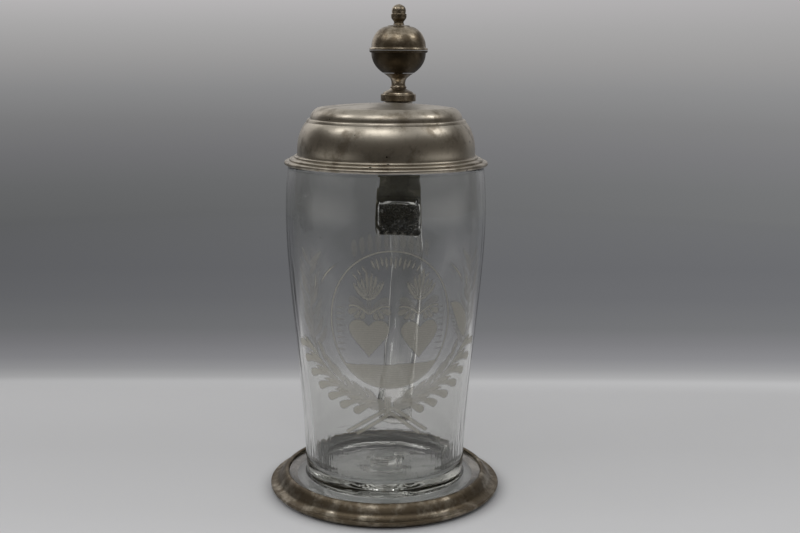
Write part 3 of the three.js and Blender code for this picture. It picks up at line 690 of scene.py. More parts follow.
def cut_palms(wall, mirror):
    """Long palm leaves that stand above the end of a branch, with a broad leaf at the right."""
    cut = strokes_from(wall, 10.0, 0, -1) if mirror else strokes_from(wall)
    cut([(-45.5, 86), (-51, 104), (-47, 128), (-44, 148)], 1.5, 0.6, "point")
    for k in range(9):
        base = np.array((-46.5 - 2.6 * math.sin(k * 0.36), 92 + 5.6 * k))
        for hand, spread in ((-1, 7.4), (1, 8.6)):
            reach = hand * (spread + 1.6 * math.sin(k * 2.3 + hand))
            tip = base + (reach, 12.5) - (0, 0.5 * k)
            bow = base + (reach * 0.72, 4.4)
            cut([base, bow, tip], 3.0, 0.38 + 0.16 * math.sin(k * 1.7 + hand), "lens")
            cut([((base[0] + bow[0]) / 2, base[1] + 3.0), bow, tip], 0.5, 0.85, "lens")
    # Two painted highlight lines on the palm
    cut([(-38.5, 127.5), (-36.3, 133), (-27.7, 139.2)], 0.9, 1.2, "lens")
    cut([(-43.8, 123), (-42.6, 128), (-42.5, 133)], 0.8, 1.1, "lens")
    if mirror:
        wall.stroke([(40.5, 117), (50, 113), (55.5, 96)], 8.4, 0.86, "lens")
        for k in range(7):
            angle, height = 41 + 1.3 * k, 112.6 - 2.3 * k
            wall.stroke([(angle, height), (angle - 2.6, height + 0.8)], 0.5, 0.9, "point")


def cut_tie(wall):
    """Binding of the two branches and its two forked ribbon tails."""
    for angle in (0.2, 1.6, 3.0):
        wall.stroke([(angle, 57.6), (angle + 0.3, 62.4), (angle, 67.2)], 1.1, 0.95)
    for tail in (
        [(-0.6, 59.6), (-8, 56.2), (-16, 51.6), (-24.6, 46.8)],
        [(1.2, 57.0), (-5, 53.4), (-11.5, 49.8), (-18, 46.2)],
        [(4.6, 61.4), (12, 57.8), (19, 52.4), (27.4, 47.8)],
        [(4.0, 58.2), (10, 55.0), (16, 50.4), (22.6, 46.4)],
    ):
        wall.stroke(tail, 2.1, 0.9)
        # A painted highlight line along each tail
        wall.stroke([(a + 0.4, h + 0.5) for a, h in tail], 0.4, 1.35, "lens")


def engraved_glass(settings):
    """Glass ground matt by the engraver's copper wheel: a white haze that scatters light, a little warm
    from two centuries of dust in the cuts, and brighter where they are deep, with painted highlights
    along the deepest."""
    material, add, place = new_material("Wheel-engraved glass")
    cut = add("ShaderNodeAttribute", attribute_name="cut").outputs["Fac"]
    # The wheel leaves a grain of about 0.3 mm, drawn at 0.6 mm so that it shows
    grain = add("ShaderNodeTexNoise", Vector=place, Scale=1600.0, Detail=2.0)
    haze = add("ShaderNodeMapRange", grain, 0.0, 1.0, 0.62, 0.92)
    cover = add("ShaderNodeMath", cut, haze, operation="MULTIPLY", use_clamp=True)
    # Shallow cuts are grey and deep ones pale; past depth 1 the colour turns bright, a painted
    # highlight of the light caught on polished cut edges
    half = add("ShaderNodeMath", cut, 0.5, operation="MULTIPLY")
    tone = add(
        "ShaderNodeValToRGB", half,
        stops=(
            (0.2, "#918e85"), (0.5, settings.cut_colour), (0.56, settings.cut_colour),
            (0.75, "#d9d6cb"),
        ),
    )
    matt = add(
        "ShaderNodeBsdfPrincipled", Base_Color=tone, Roughness=0.6, Alpha=cover,
        Specular_IOR_Level=0.3,
    )
    add("ShaderNodeOutputMaterial", Surface=matt)
    return material


def engraved_sheet(wall):
    """Thin sheet on the wall wherever the wheel has cut it, with the depth of each cut."""
    clearance = 0.16
    shallowest = 0.03
    rows, columns = wall.depth.shape
    smooth = np.pad(wall.depth, 1, mode="edge")
    smooth = sum(
        smooth[r:r + rows, c:c + columns] * w
        for r, c, w in ((1, 1, 0.6), (0, 1, 0.1), (2, 1, 0.1), (1, 0, 0.1), (1, 2, 0.1))
    )
    bm = bmesh.new()
    bmesh.ops.create_grid(bm, x_segments=columns - 1, y_segments=rows - 1, size=1)
    layer = bm.verts.layers.float.new("cut")
    for vert in bm.verts:
        column = round((vert.co.x + 1) / 2 * (columns - 1))
        row = round((vert.co.y + 1) / 2 * (rows - 1))
        vert[layer] = smooth[row, column]
        vert.co = wall_place(wall.angles[column], wall.radii[row] + clearance, wall.heights[row])
    bare = [f for f in bm.faces if max(v[layer] for v in f.verts) < shallowest]
    bmesh.ops.delete(bm, geom=bare, context="FACES")
    return finish_piece("engraving", bm, AXIS)


# Pewter

def cast_pewter(name, colour, tarnish, spot, axis, wear):
    """Lead pewter, cast and turned on a lathe: a soft warm-grey metal with fine rings from
    the tool, clouded by tarnish and pitted by oxide. wear is the roughness of the bright
    metal, of the tarnish, the share of tarnish and the depth of the marks in millimetres."""
    bright, dull, share, marks = wear
    material, add, place = new_material(name)
    centred, _, height, radius = round_axis(add, place, axis)
    # Tool rings: 0.5 mm apart, a little coarser than the real ones so that they show
    across = add("ShaderNodeCombineXYZ", radius, height)
    rings = add("ShaderNodeTexNoise", Vector=across, Scale=2000.0, Detail=1.0)
    # Clouds of tarnish, 11 mm across, with a finer mottle of 2.5 mm in them
    clouds = add("ShaderNodeTexNoise", Vector=centred, Scale=90.0, Detail=5.0, Roughness=0.62)
    mottle = add("ShaderNodeTexNoise", Vector=centred, Scale=400.0, Detail=4.0, Roughness=0.7)
    tarnished = add("ShaderNodeMapRange", clouds, 0.66 - share, 0.8 - share * 0.6, **SOFT)
    specked = add("ShaderNodeMapRange", mottle, 0.5, 0.72, **SOFT)
    spotted = add("ShaderNodeMath", specked, 0.95 * share + 0.02, operation="MULTIPLY")
    # Pits where oxide has broken out, under a millimetre wide and 8 mm apart
    cells = add("ShaderNodeTexVoronoi", Vector=centred, Scale=125.0)
    chosen = add("ShaderNodeSeparateColor", cells.outputs["Color"])
    size = add("ShaderNodeMapRange", chosen, 0.6, 1.0, 0.0, 0.11)
    pits = add("ShaderNodeMath", cells, size, operation="LESS_THAN")
    metal = add("ShaderNodeMix", tarnished, colour, tarnish, data_type="RGBA")
    stained = add("ShaderNodeMix", spotted, metal, spot, data_type="RGBA")
    pitted = add("ShaderNodeMix", pits, stained, "#2b2620", data_type="RGBA")
    matt = add("ShaderNodeMath", tarnished, spotted, operation="MAXIMUM")
    rough = add("ShaderNodeMapRange", matt, 0.0, 1.0, bright, dull)
    turned = add("ShaderNodeBump", Strength=0.5, Distance=marks * MM * 0.7, Height=rings)
    rubbed = add("ShaderNodeBump", Strength=0.6, Distance=marks * MM, Height=mottle, Normal=turned)
    eaten = add(
        "ShaderNodeBump", invert=True, Strength=0.7, Distance=0.0001, Height=pits, Normal=rubbed,
    )
    surface = add(
        "ShaderNodeBsdfPrincipled", Base_Color=pitted, Metallic=1.0, Roughness=rough, Normal=eaten,
    )
    add("ShaderNodeOutputMaterial", Surface=surface)
    return material


def lid_pewter(settings):
    """Pewter of the lid and its bracket, kept bright by hands and cloths."""
    return cast_pewter(
        "Turned pewter", settings.lid_colour, "#8a8173", "#5d5447", AXIS, (0.33, 0.4, 0.2, 0.014),
    )


def thumb_pewter(settings):
    """Pewter of the thumb-rest, browned by handling."""
    return cast_pewter(
        "Browned pewter", settings.thumb_colour, "#6d6150", "#453b2f", THUMB,
        (0.24, 0.4, 0.34, 0.02),
    )


def under_pewter():
    """Pewter of the ball's lower half, darker than the upper half: partly tarnish where hands don't
    reach and partly painted shade of its underside.
    """
    return cast_pewter(
        "Dark browned pewter", "#6d6252", "#463d30", "#2a231a", THUMB, (0.28, 0.42, 0.42, 0.02),
    )


def mount_pewter():
    """Pewter of the handle mount, never polished, and gone a dull and dark olive grey: partly tarnish
    and partly painted shade of its place between body and handle.
    """
    return cast_pewter(
        "Blackened pewter", "#a09c86", "#6b6857", "#211d17", AXIS, (0.4, 0.6, 0.5, 0.03),
    )


def ring_pewter(settings):
    """Pewter of the foot ring, rubbed by the table and mottled with brown."""
    return cast_pewter(
        "Worn pewter", settings.ring_colour, "#695e4e", "#221910", AXIS, (0.25, 0.46, 0.42, 0.06),
    )


def ring_profile():
    """Foot ring: tread, edge, bead, hollow and the lip over the glass, as a closed loop."""
    outside = chain([(60.2, 0), (62.8, 0)], ((63.1, 1.1), (65.4, 1.0), (65.75, 2.9), 12))
    outside += arc((65.2, 3.5), (0.6, 0.55), -20, 110, 6)
    outside = chain(
        outside + [(64.8, 3.95)], ((62.2, 4.2), (60.9, 5.4), (60.2, 7.0), 14),
        ((59.2, 8.8), (58.2, 10.1), (57.2, 10.75), 10), ((56.6, 11.2), (55.7, 11.1), (55.3, 10.4), 8),
    )
    inside = [(55.3, 9.9), (57.5, 9.9), (57.5, 4.6), (50.0, 4.6), (50.0, 2.8), (60.0, 2.8)]
    return softened(outside + inside, 0.35, closed=True)


def lid_profile():
    """Lid from the underside of its crown, round the collar and the reeds, to its crown."""
    inside = chain(
        [(0, 217.6), (34.6, 215.4)], ((39.2, 214.8), (39.8, 207.9), 8),
        ((46.6, 206.4), (46.8, 194), 10),
    )
    inside += [(46.8, 190.1), (48.3, 187.1), (48.3, 185.5), (49.9, 185.5), (49.9, 187.1), (54.3, 187.1)]
    reeds = arc((55.15, 187.35), (0.84, 1.04), -176, 126, 20)
    reeds += arc((52.45, 189.05), (0.85, 0.8), -30, 135, 11)
    reeds += arc((49.8, 190.55), (0.85, 0.78), -30, 130, 11)
    foot = bend([(49.15, 191.2), (48.95, 191.5), (48.9, 192.6), (48.9, 194)], 8)
    dome = arc((38.9, 194), (10, 17.8), 0, 60, 26)
    ledge = bend([(43.9, 209.5), (43.6, 210.1), (43.5, 210.9), (43.0, 211.1)], 6)
    ledge += [(42.4, 211.1), (41.95, 210.7), (41.75, 211.1)]
    step = arc((33.4, 211.1), (8.3, 6.9), 2, 62, 16)
    edge = [(37.0, 217.1), (36.8, 216.95), (36.4, 217.35)]
    crown = bend([(36.4, 217.35), (20, 219.5), (0, 219.75)], 14)
    return softened(inside, 0.3) + reeds + foot + dome + ledge + step + edge + crown


def stem_profile():
    """Stem of the thumb-rest: spigot, disc, ringed neck that flares both ways, and spigot."""
    disc = [(0, 214.8), (2.5, 214.8), (2.5, 218.8), (10.0, 218.8), (10.4, 219.2)]
    disc += [(10.4, 222.5), (9.9, 223.1), (9.1, 223.15)]
    neck = bend([(9.1, 223.15), (8.7, 224.9), (5.4, 225.0), (4.5, 226.4)], 12)[1:]
    neck += arc((4.3, 226.95), (0.6, 0.45), -70, 70, 6)
    neck += chain(
        [(4.3, 227.5)], ((3.9, 229.0), (4.0, 231.2), (5.1, 232.3), 8),
        ((6.2, 233.3), (7.4, 234.3), (8.8, 234.9), 8),
    )[1:]
    return softened(disc, 0.3) + neck + [(2.5, 234.92), (2.5, 238.9), (0, 238.9)]


def lower_ball_profile():
    """Lower half of the hollow ball with its half of the band, as a closed loop."""
    outside = bend([(9.2, 235.3), (12.7, 237.6), (16, 241.3), (16, 246.9)], 24)
    band = [(16.7, 247.0), (17.15, 247.7), (17.2, 248.2), (14.6, 248.2)]
    shell = chain([(2.8, 235.3)] + outside + band, ((14.5, 241.9), (11, 238.8), (7.9, 236.7), 16))
    return softened(shell + [(2.8, 236.7)], 0.25, closed=True)


def upper_ball_profile():
    """Upper half of the hollow ball with its half of the band and its flat collar."""
    inside = bend([(6.6, 260.4), (10.4, 260.3), (14.6, 256), (14.6, 248.5)], 16)
    band = [(17.2, 248.5), (17.2, 249.2), (16.9, 249.7), (16, 249.8)]
    shell = chain([(2.0, 260.4)] + inside + band, ((16, 257.1), (11.1, 261.9), (6.6, 261.95), 24))
    return softened(shell + [(6.55, 262.3), (6.2, 262.5), (2.0, 262.5)], 0.2, closed=True)


def acorn_profile():
    """Acorn: spigot, waist, cup with a rolled edge, and nut with a tiny point."""
    foot = [(0, 260.9), (1.6, 260.9), (1.6, 262.85), (3.4, 262.85)]
    cup = chain(
        foot[-1:], ((3.0, 263.4), (2.7, 264.2), (2.95, 264.8), 8),
        ((3.5, 265.6), (4.5, 266.3), (4.55, 267.8), 8),
    )[1:]
    cup += arc((4.2, 268.7), (0.4, 0.5), -40, 110, 6)
    nut = bend([(3.95, 269.4), (4.5, 271.6), (3.9, 273.7), (1.1, 274.5)], 14)
    return softened(foot, 0.2) + cup + nut + [(0.5, 274.7), (0, 274.8)]


def smooth_casting(node, name, voxel, rounds):
    """Casting from a merged copy of a CAD node, its edges rounded as by file and wear."""
    bm = bmesh.new()
    bm.from_mesh(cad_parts[node].data)
    bmesh.ops.remove_doubles(bm, verts=bm.verts, dist=1e-6)
    piece = finish_piece(name, bm)
    remesh = piece.modifiers.new("skin", "REMESH")
    remesh.mode = "VOXEL"
    remesh.voxel_size = voxel * MM
    rub = piece.modifiers.new("rub", "SMOOTH")
    rub.factor = 0.5
    rub.iterations = rounds
    set_modifiers(piece)
    shade(piece, 50)
    return piece


def forged_iron():
    """Iron pin, forged and filed, brown with old rust in its pores."""
    material, add, place = new_material("Forged iron")
    # Rust spots of about 1.5 mm
    rust = add("ShaderNodeTexNoise", Vector=place, Scale=650.0, Detail=4.0)
    colour = add("ShaderNodeMix", rust, "#5b544c", "#4a3526", data_type="RGBA")
    rough = add("ShaderNodeMapRange", rust, 0.0, 1.0, 0.35, 0.75)
    bump = add("ShaderNodeBump", Strength=0.5, Distance=0.00005, Height=rust)
    surface = add(
        "ShaderNodeBsdfPrincipled", Base_Color=colour, Metallic=1.0, Roughness=rough, Normal=bump,
    )
    add("ShaderNodeOutputMaterial", Surface=surface)
    return material


# Stage

def paper_sweep(settings):
    """Matt paper sweep: pale where the object stands, falling into shade behind it and rising
    into light again up the wall."""
    material, add, place = new_material("Matt paper")
    right, back, height = picture_axes(add, place, (0.6, 0.2, 1.0))
    # Squarish reach round the object, 1 at the edge of the pale paper
    fourths = []
    for offset in (right, back):
        size = add("ShaderNodeMath", offset, operation="ABSOLUTE")
        fourths.append(add("ShaderNodeMath", size, 4.0, operation="POWER"))
    total = add("ShaderNodeMath", *fourths)
    reach = add("ShaderNodeMath", total, 0.25, operation="POWER")
    behind = add("ShaderNodeMapRange", reach, 0.0, 6.0)
    floor = add(
        "ShaderNodeValToRGB", behind,
        stops=(
            (0.0, "#b6b6b7"), (0.17, "#b6b6b7"), (0.18, "#a5a5a6"), (0.2, "#929294"),
            (0.226, "#838386"), (0.267, "#77777a"), (0.31, "#6d6e70"), (0.42, "#656669"),
            (0.55, "#626366"), (0.98, "#676869"),
        ),
    )
    wall = add(
        "ShaderNodeValToRGB", height,
        stops=(
            (0.0, "#676869"), (0.046, "#6c6d6e"), (0.095, "#747476"), (0.144, "#7d7d7e"),
            (0.193, "#8a8a8b"), (0.242, "#9a9999"), (0.29, "#a7a6a6"), (0.333, "#b4b2b3"),
            (0.45, "#c4c2c2"), (0.9, "#dedddc"),
        ),
    )
    risen = add("ShaderNodeMapRange", height, 0.0, 0.01)
    shown = add("ShaderNodeMix", risen, floor, wall, data_type="RGBA")
    # The lamps light the pale paper, and past it the paper glows by itself
    lit = add("ShaderNodeMapRange", reach, 0.85, 1.1, 1.0, 0.0, **SOFT)
    colour = add("ShaderNodeMix", lit, (0, 0, 0), settings.floor_colour, data_type="RGBA")
    own = add("ShaderNodeMapRange", reach, 0.85, 1.1, settings.floor_lift, 1.0, **SOFT)
    # Under the tankard no light gets in but what the lamps send through the glass
    away = add("ShaderNodeVectorMath", place, AXIS, operation="DISTANCE")
    uncovered = add("ShaderNodeMapRange", away, 0.06, 0.076, **SOFT)
    # The light falls off to the left near the floor, and to the right high up
    lean = add("ShaderNodeMath", height, -0.75, 0.2, operation="MULTIPLY_ADD")
    sideways = add("ShaderNodeMath", right, lean, 1.0, operation="MULTIPLY_ADD")
    # and it gains towards the front edge of the table
    forward = add("ShaderNodeMapRange", back, -0.6, 0.3, 1.5, 1.0)
    # The paper ends in front of the picture, and the room beyond it is dark in the middle
    nearer = add("ShaderNodeMapRange", back, -2.4, -1.6, 0.2, 1.0, **SOFT)
    beyond = add("ShaderNodeMapRange", fourths[0], 1.2, 2.6, **SOFT)
    room = add("ShaderNodeMath", nearer, beyond, operation="MAXIMUM")
    glow = own
    for part in (uncovered, sideways, forward, room):
        glow = add("ShaderNodeMath", glow, part, operation="MULTIPLY")
    paper = add(
        "ShaderNodeBsdfPrincipled", Base_Color=colour, Roughness=0.9, Specular_IOR_Level=0.1,
        Emission_Color=shown, Emission_Strength=glow,
    )
    add("ShaderNodeOutputMaterial", Surface=paper)
    return material


def dark_cloth():
    """Matt cloth of one colour, for a studio curtain that only reflections see."""
    material, add, _ = new_material("Dark cloth")
    cloth = add("ShaderNodeBsdfDiffuse", Color="#7a746c", Roughness=1.0)
    add("ShaderNodeOutputMaterial", Surface=cloth)
    return material


def glowing_card(glow):
    """White card lit in a soft patch low down at both sides, and see-through elsewhere."""
    material, add, place = new_material("White card")
    right, back, height = picture_axes(add, place)
    aside = add("ShaderNodeMath", right, operation="ABSOLUTE")
    strength = 1.0
    for value, start, end, first, last in (
        (aside, 0.35, 0.86, 0.0, glow), (height, 0.07, 0.2, 1.0, 0.0),
        (height, 0.0, 0.07, 0.0, 1.0), (back, -0.15, 0.28, 1.0, 0.0),
    ):
        fade = add("ShaderNodeMapRange", value, start, end, first, last, **SOFT)
        strength = add("ShaderNodeMath", strength, fade, operation="MULTIPLY")
    light = add("ShaderNodeEmission", Color="#fffdf8", Strength=strength)
    both = add("ShaderNodeAddShader", light, add("ShaderNodeBsdfTransparent"))
    add("ShaderNodeOutputMaterial", Surface=both)
    return material


def hang_screen(name, material, distance, turns, heights):
    """Upright screen round the object that only reflections see, between two azimuths from
    the picture's middle and two heights in metres."""
    bm = bmesh.new()
    bottom = bm.verts.new(toward(VIEW_AZIMUTH + turns[0], 0) * distance + Vector((0, 0, heights[0])))
    top = bm.verts.new(bottom.co + Vector((0, 0, heights[1] - heights[0])))
    bmesh.ops.spin(
        bm, geom=[bottom, top, bm.edges.new((bottom, top))], cent=(0, 0, 0),
        axis=(0, 0, 1), angle=math.radians(turns[1] - turns[0]), steps=24,
    )
    screen = finish_piece(name, bm, AXIS)
    screen.data.materials.append(material)
    screen.visible_camera = False
    screen.visible_transmission = False
    screen.visible_diffuse = False
    screen.visible_shadow = False


def toward(azimuth, elevation):
    """Direction from the object, by azimuth from the front to the right and elevation."""
    a, e = math.radians(azimuth), math.radians(elevation)
    return Vector((math.sin(a) * math.cos(e), -math.cos(a) * math.cos(e), math.sin(e)))


def add_lamp(name, azimuth, elevation, size, radiance):
    """Soft box turned towards the lid, of a width and height in metres."""
    data = bpy.data.lights.new(name, "AREA")
    data.shape = "RECTANGLE"
    data.size, data.size_y = size
    data.energy = radiance * math.pi * size[0] * size[1]
    lamp = bpy.data.objects.new(name, data)
    bpy.context.collection.objects.link(lamp)
    away = toward(azimuth, elevation)
    lamp.location = AXIS + Vector((0, 0, LAMP_AIM)) + away * LAMP_DISTANCE
    lamp.rotation_euler = away.to_track_quat("Z", "Y").to_euler()
    lamp.visible_camera = False


def add_camera(settings):
    """Camera where the picture was taken from, turned and rolled as it was."""
    data = bpy.data.cameras.new("camera")
    data.lens = settings.focal_length
    data.sensor_width = 36
    camera = bpy.data.objects.new("camera", data)
    bpy.context.collection.objects.link(camera)
    camera.location = AXIS + toward(VIEW_AZIMUTH, 0) * CAMERA_DISTANCE + Vector((0, 0, CAMERA_HEIGHT))
    turn = Matrix.Rotation(math.radians(VIEW_AZIMUTH - CAMERA_SWING), 4, "Z")
    tilt = Matrix.Rotation(math.radians(90 - CAMERA_TILT), 4, "X")
    roll = Matrix.Rotation(math.radians(CAMERA_ROLL), 4, "Z")
    camera.rotation_euler = (turn @ tilt @ roll).to_euler()
    bpy.context.scene.camera = camera


# Add-on

def colour_property(name, description, colour):
    """Property for a colour that a user would change."""
    return bpy.props.FloatVectorProperty(
        name=name, description=description, size=3, subtype="COLOR", min=0, max=1,
        default=linear(colour)[:3],
    )


class TankardGlass(bpy.types.PropertyGroup):
    """Sizes and colours of the glass and its engraving."""
    glass_colour: colour_property("Glass", "What one face of the glass lets through", "#f1f1f0")
    depth_colour: colour_property("Depth", "Tint of the glass where it is thick", "#c9cbc2")
    cut_colour: colour_property("Engraving", "Colour of the deep cuts", "#aeaa9d")
    unevenness: bpy.props.FloatProperty(
        name="Unevenness", description="How far the blown wall strays from true",
        unit="LENGTH", min=0, max=0.001, default=0.0002, precision=5,
    )
    cut_pitch: bpy.props.FloatProperty(
        name="Cut detail", description="Spacing of the points that hold the engraving",
        unit="LENGTH", min=0.0002, max=0.002, default=0.0004, precision=5,
    )


class TankardPewter(bpy.types.PropertyGroup):
    """Colours of the pewter pieces."""
    lid_colour: colour_property("Lid", "Bright metal of the lid", "#b9b1a3")
    thumb_colour: colour_property("Thumb-rest", "Bright metal of the thumb-rest", "#c6b9a4")
    ring_colour: colour_property("Foot ring", "Bright metal of the foot ring", "#b6ad9d")
    facets: bpy.props.IntProperty(
        name="Steps", description="Steps round each turned piece", min=32, max=360, default=192,
    )


class TankardStage(bpy.types.PropertyGroup):
    """Floor, lamps and camera."""
    floor_colour: colour_property("Floor", "Colour of the paper where the object stands", "#b1b1b2")
    floor_lift: bpy.props.FloatProperty(
        name="Floor glow", description="Light of the paper beside what the lamps give it",
        min=0, max=1, default=0.31,
    )
    key_strength: bpy.props.FloatProperty(
        name="Front lamp", description="Brightness of the panel above the camera",
        min=0, max=60, default=3.2,
    )
    side_strength: bpy.props.FloatProperty(
        name="Side lamps", description="Brightness of the panels at the sides",
        min=0, max=60, default=8.0,
    )
    card_glow: bpy.props.FloatProperty(
        name="Side card", description="Brightness of the low white card at both sides",
        min=0, max=10, default=0.9,
    )
    focal_length: bpy.props.FloatProperty(
        name="Lens", description="Focal length of the camera",
        unit="CAMERA", min=10, max=200, default=49.5,
    )


class TANKARD_OT_blow_glass(bpy.types.Operator):
    """Blow the vessel, draw its strap handle and melt the two together"""
    bl_idname = "tankard.blow_glass"
    bl_label = "Blow Glass"

    def execute(self, context):
        settings = context.scene.tankard_glass
        bm = turned_bmesh(vessel_profile(), 240)
        blow_unevenly(bm, settings.unevenness)
        vessel = finish_piece("glass_vessel", bm, AXIS)
        fuse(vessel, loft_strap("strap", handle_stations()))
        fuse(vessel, loft_strap("tail", tail_stations()))
        if len(vessel.data.polygons) < 1000:
            raise RuntimeError("The handle could not be fused to the vessel")
        bm = bmesh.new()
        bm.from_mesh(vessel.data)
        bmesh.ops.translate(bm, verts=bm.verts, vec=-AXIS)
        for seed in (
            (-9.0, 17.5, 2.0, 1.0, 1.2), (-4.5, 45.0, 1.8, 0.8, 1.6), (24.0, 20.0, 2.0, 0.7, 1.1),
            (-38.0, 152.0, 1.6, 0.6, 1.8), (148.0, 120.0, 1.6, 0.8, 2.0),
        ):
            add_seed(bm, *seed)
        bmesh.ops.translate(bm, verts=bm.verts, vec=AXIS)
        bm.to_mesh(vessel.data)
        bm.free()
        shade(vessel, 42)
        dress(vessel, blown_glass(settings), "tankard", "clear_glass", "glass_body", "glass_handle")
        # A dark sheet of painted shade over the handle's root
        dress(clasp_shade_sheet(), painted_clasp_shade(), "tankard", "clear_glass")
        # A film of painted shade in the corner of the bottom
        dress(corner_shade_film(), painted_corner_shade(), "tankard", "clear_glass")
        return {"FINISHED"}


class TANKARD_OT_engrave_wall(bpy.types.Operator):
    """Engrave the wreath, the flowers and the two hearts on the front wall"""
    bl_idname = "tankard.engrave_wall"
    bl_label = "Engrave Wall"

    def execute(self, context):
        settings = context.scene.tankard_glass
        wall = CutWall(-66, 72, 44, 158, settings.cut_pitch / MM)
        for cut in (cut_palms, cut_wreath):
            for mirror in (False, True):
                cut(wall, mirror)
        cut_medallion(wall)
        cut_glory(wall)
        cut_flower(wall, -9.2, 121.6, 0.4, 1)
        cut_flower(wall, 19.4, 121.4, -0.8, -1)
        cut_heart(wall, -9.6, 89.8, 11.6, 20.8)
        cut_heart(wall, 20.2, 89.0, 11.2, 20.8)
        cut_tie(wall)
        sheet = engraved_sheet(wall)
        if not sheet.data.polygons:
            raise RuntimeError("Nothing was engraved")
        dress(sheet, engraved_glass(settings), "tankard", "clear_glass")
        return {"FINISHED"}


class TANKARD_OT_cast_foot_ring(bpy.types.Operator):
    """Cast and turn the foot ring"""
    bl_idname = "tankard.cast_foot_ring"
    bl_label = "Cast Foot Ring"

    def execute(self, context):
        settings = context.scene.tankard_pewter
        bm = turned_bmesh(ring_profile(), settings.facets, closed=True)
        ring = finish_piece("foot_ring_turned", bm, AXIS)
        dress(ring, ring_pewter(settings), "tankard", "dark_pewter", "foot_ring")
        return {"FINISHED"}


class TANKARD_OT_turn_lid(bpy.types.Operator):
    """Turn the lid with its reeded flange, dome and step"""
    bl_idname = "tankard.turn_lid"
    bl_label = "Turn Lid"

    def execute(self, context):
        settings = context.scene.tankard_pewter
        lid = finish_piece("lid_turned", turned_bmesh(lid_profile(), settings.facets), AXIS)
        dress(lid, lid_pewter(settings), "lid", "lid_pewter", "lid")
        return {"FINISHED"}


class TANKARD_OT_turn_thumb_rest(bpy.types.Operator):
    """Turn the stem, the two halves of the ball and the acorn"""
    bl_idname = "tankard.turn_thumb_rest"
    bl_label = "Turn Thumb-rest"

    def execute(self, context):
        settings = context.scene.tankard_pewter
        steps = settings.facets // 2
        rubbed = thumb_pewter(settings)
        # The ball's lower half is darker: partly tarnish and partly painted shade of its underside
        shaded_underside = under_pewter()
        pieces = (
            ("thumb_stem_turned", stem_profile(), False, rubbed, "thumb_stem"),
            ("ball_lower_turned", lower_ball_profile(), True, shaded_underside, "ball_lower"),
            ("ball_upper_turned", upper_ball_profile(), True, rubbed, "ball_upper"),
            ("acorn_turned", acorn_profile(), False, rubbed, "acorn_knop"),
        )
        for name, profile, closed, pewter, node in pieces:
            piece = finish_piece(name, turned_bmesh(profile, steps, closed), THUMB)
            dress(piece, pewter, "lid", "dark_pewter", node)
        return {"FINISHED"}


class TANKARD_OT_cast_hinge(bpy.types.Operator):
    """Cast the handle mount and the lid bracket, and rivet the pin"""
    bl_idname = "tankard.cast_hinge"
    bl_label = "Cast Hinge"

    def execute(self, context):
        settings = context.scene.tankard_pewter
        bright = bpy.data.materials.get("Turned pewter") or lid_pewter(settings)
        mount = smooth_casting("handle_mount", "handle_mount_cast", 0.4, 3)
        # The mount's dark colour is partly painted shade
        dress(mount, mount_pewter(), "tankard", "dark_pewter", "handle_mount")
        bracket = smooth_casting("lid_bracket", "lid_bracket_cast", 0.35, 3)
        dress(bracket, bright, "lid", "lid_pewter", "lid_bracket")
        low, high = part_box("hinge_pin")
        half = (high.x - low.x) / 2 / MM
        head = arc((0, half - 1), (2.7, 1.0), 90, 0, 6)
        tail = arc((0, 1 - half), (2.7, 1.0), 0, -90, 6)
        profile = softened(head + [(1.6, half - 1), (1.6, 1 - half)] + tail, 0.2)
        bm = turned_bmesh(profile, 32)
        bmesh.ops.rotate(
            bm, verts=bm.verts, cent=(0, 0, 0), matrix=Matrix.Rotation(math.pi / 2, 3, "Y"),
        )
        pin = finish_piece("hinge_pin_riveted", bm, HINGE)
        dress(pin, forged_iron(), "tankard", "iron", "hinge_pin")
        return {"FINISHED"}


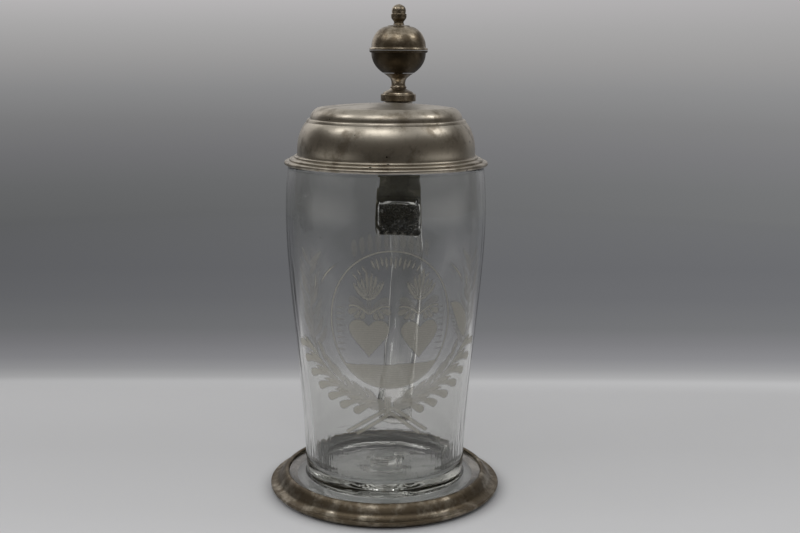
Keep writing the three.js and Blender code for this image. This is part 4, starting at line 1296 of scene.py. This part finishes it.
class TANKARD_OT_set_stage(bpy.types.Operator):
    """Set the paper sweep, the lamps and the camera"""
    bl_idname = "tankard.set_stage"
    bl_label = "Set Stage"

    def execute(self, context):
        settings = context.scene.tankard_stage
        sweep = [(0, 0), (1100, 0)] + arc((1100, 100), (100, 100), -90, 0, 12)[1:] + [(1200, 1100)]
        bm = turned_bmesh(sweep, 96)
        bmesh.ops.reverse_faces(bm, faces=bm.faces)
        paper = finish_piece("paper_sweep", bm, AXIS + Vector((0, 0, -0.00002)), 80)
        paper.data.materials.append(paper_sweep(settings))
        hang_screen("dark_curtain", dark_cloth(), 1.0, (-124, 124), (0.045, 0.92))
        hang_screen("white_card", glowing_card(settings.card_glow), 0.9, (-110, 110), (0.001, 0.2))
        add_lamp("front_lamp", -4, 55, (0.44, 0.2), settings.key_strength)
        add_lamp("left_lamp", -71, 46, (0.08, 0.2), settings.side_strength)
        add_lamp("right_lamp", 94, 42, (0.13, 0.2), settings.side_strength)
        world = bpy.data.worlds.new("studio")
        world.use_nodes = True
        air = world.node_tree.nodes["Background"].inputs
        air["Color"].default_value = (0.9, 0.9, 0.9, 1)
        air["Strength"].default_value = 0.56
        context.scene.world = world
        context.scene.view_settings.view_transform = "Standard"
        cycles = context.scene.cycles
        cycles.max_bounces = 24
        cycles.transmission_bounces = 24
        cycles.transparent_max_bounces = 32
        cycles.glossy_bounces = 8
        cycles.diffuse_bounces = 3
        cycles.sample_clamp_indirect = 4
        cycles.caustics_reflective = False
        cycles.use_denoising = True
        add_camera(settings)
        return {"FINISHED"}


class TANKARD_PT_panel(bpy.types.Panel):
    """Sizes, colours and build steps of the tankard"""
    bl_label = "Tankard"
    bl_idname = "TANKARD_PT_panel"
    bl_space_type = "VIEW_3D"
    bl_region_type = "UI"
    bl_category = "Tankard"

    def draw(self, context):
        layout = self.layout
        for group, cls in GROUPS.items():
            box = layout.box()
            for name in cls.__annotations__:
                box.prop(getattr(context.scene, group), name)
        for step in STEPS:
            layout.operator(step.bl_idname)


STEPS = (
    TANKARD_OT_set_stage, TANKARD_OT_blow_glass, TANKARD_OT_engrave_wall,
    TANKARD_OT_cast_foot_ring, TANKARD_OT_turn_lid, TANKARD_OT_turn_thumb_rest,
    TANKARD_OT_cast_hinge,
)
GROUPS = {
    "tankard_glass": TankardGlass, "tankard_pewter": TankardPewter, "tankard_stage": TankardStage,
}


def register():
    for cls in (*GROUPS.values(), *STEPS, TANKARD_PT_panel):
        bpy.utils.register_class(cls)
    for name, cls in GROUPS.items():
        setattr(bpy.types.Scene, name, bpy.props.PointerProperty(type=cls))


def unregister():
    for name in GROUPS:
        delattr(bpy.types.Scene, name)
    for cls in (TANKARD_PT_panel, *reversed(STEPS), *reversed(GROUPS.values())):
        bpy.utils.unregister_class(cls)


def main():
    """Builds the whole scene."""
    register()
    bpy.ops.tankard.set_stage()
    bpy.ops.tankard.blow_glass()
    bpy.ops.tankard.engrave_wall()
    bpy.ops.tankard.cast_foot_ring()
    bpy.ops.tankard.turn_lid()
    bpy.ops.tankard.turn_thumb_rest()
    bpy.ops.tankard.cast_hinge()


if __name__ == "__main__":
    main()
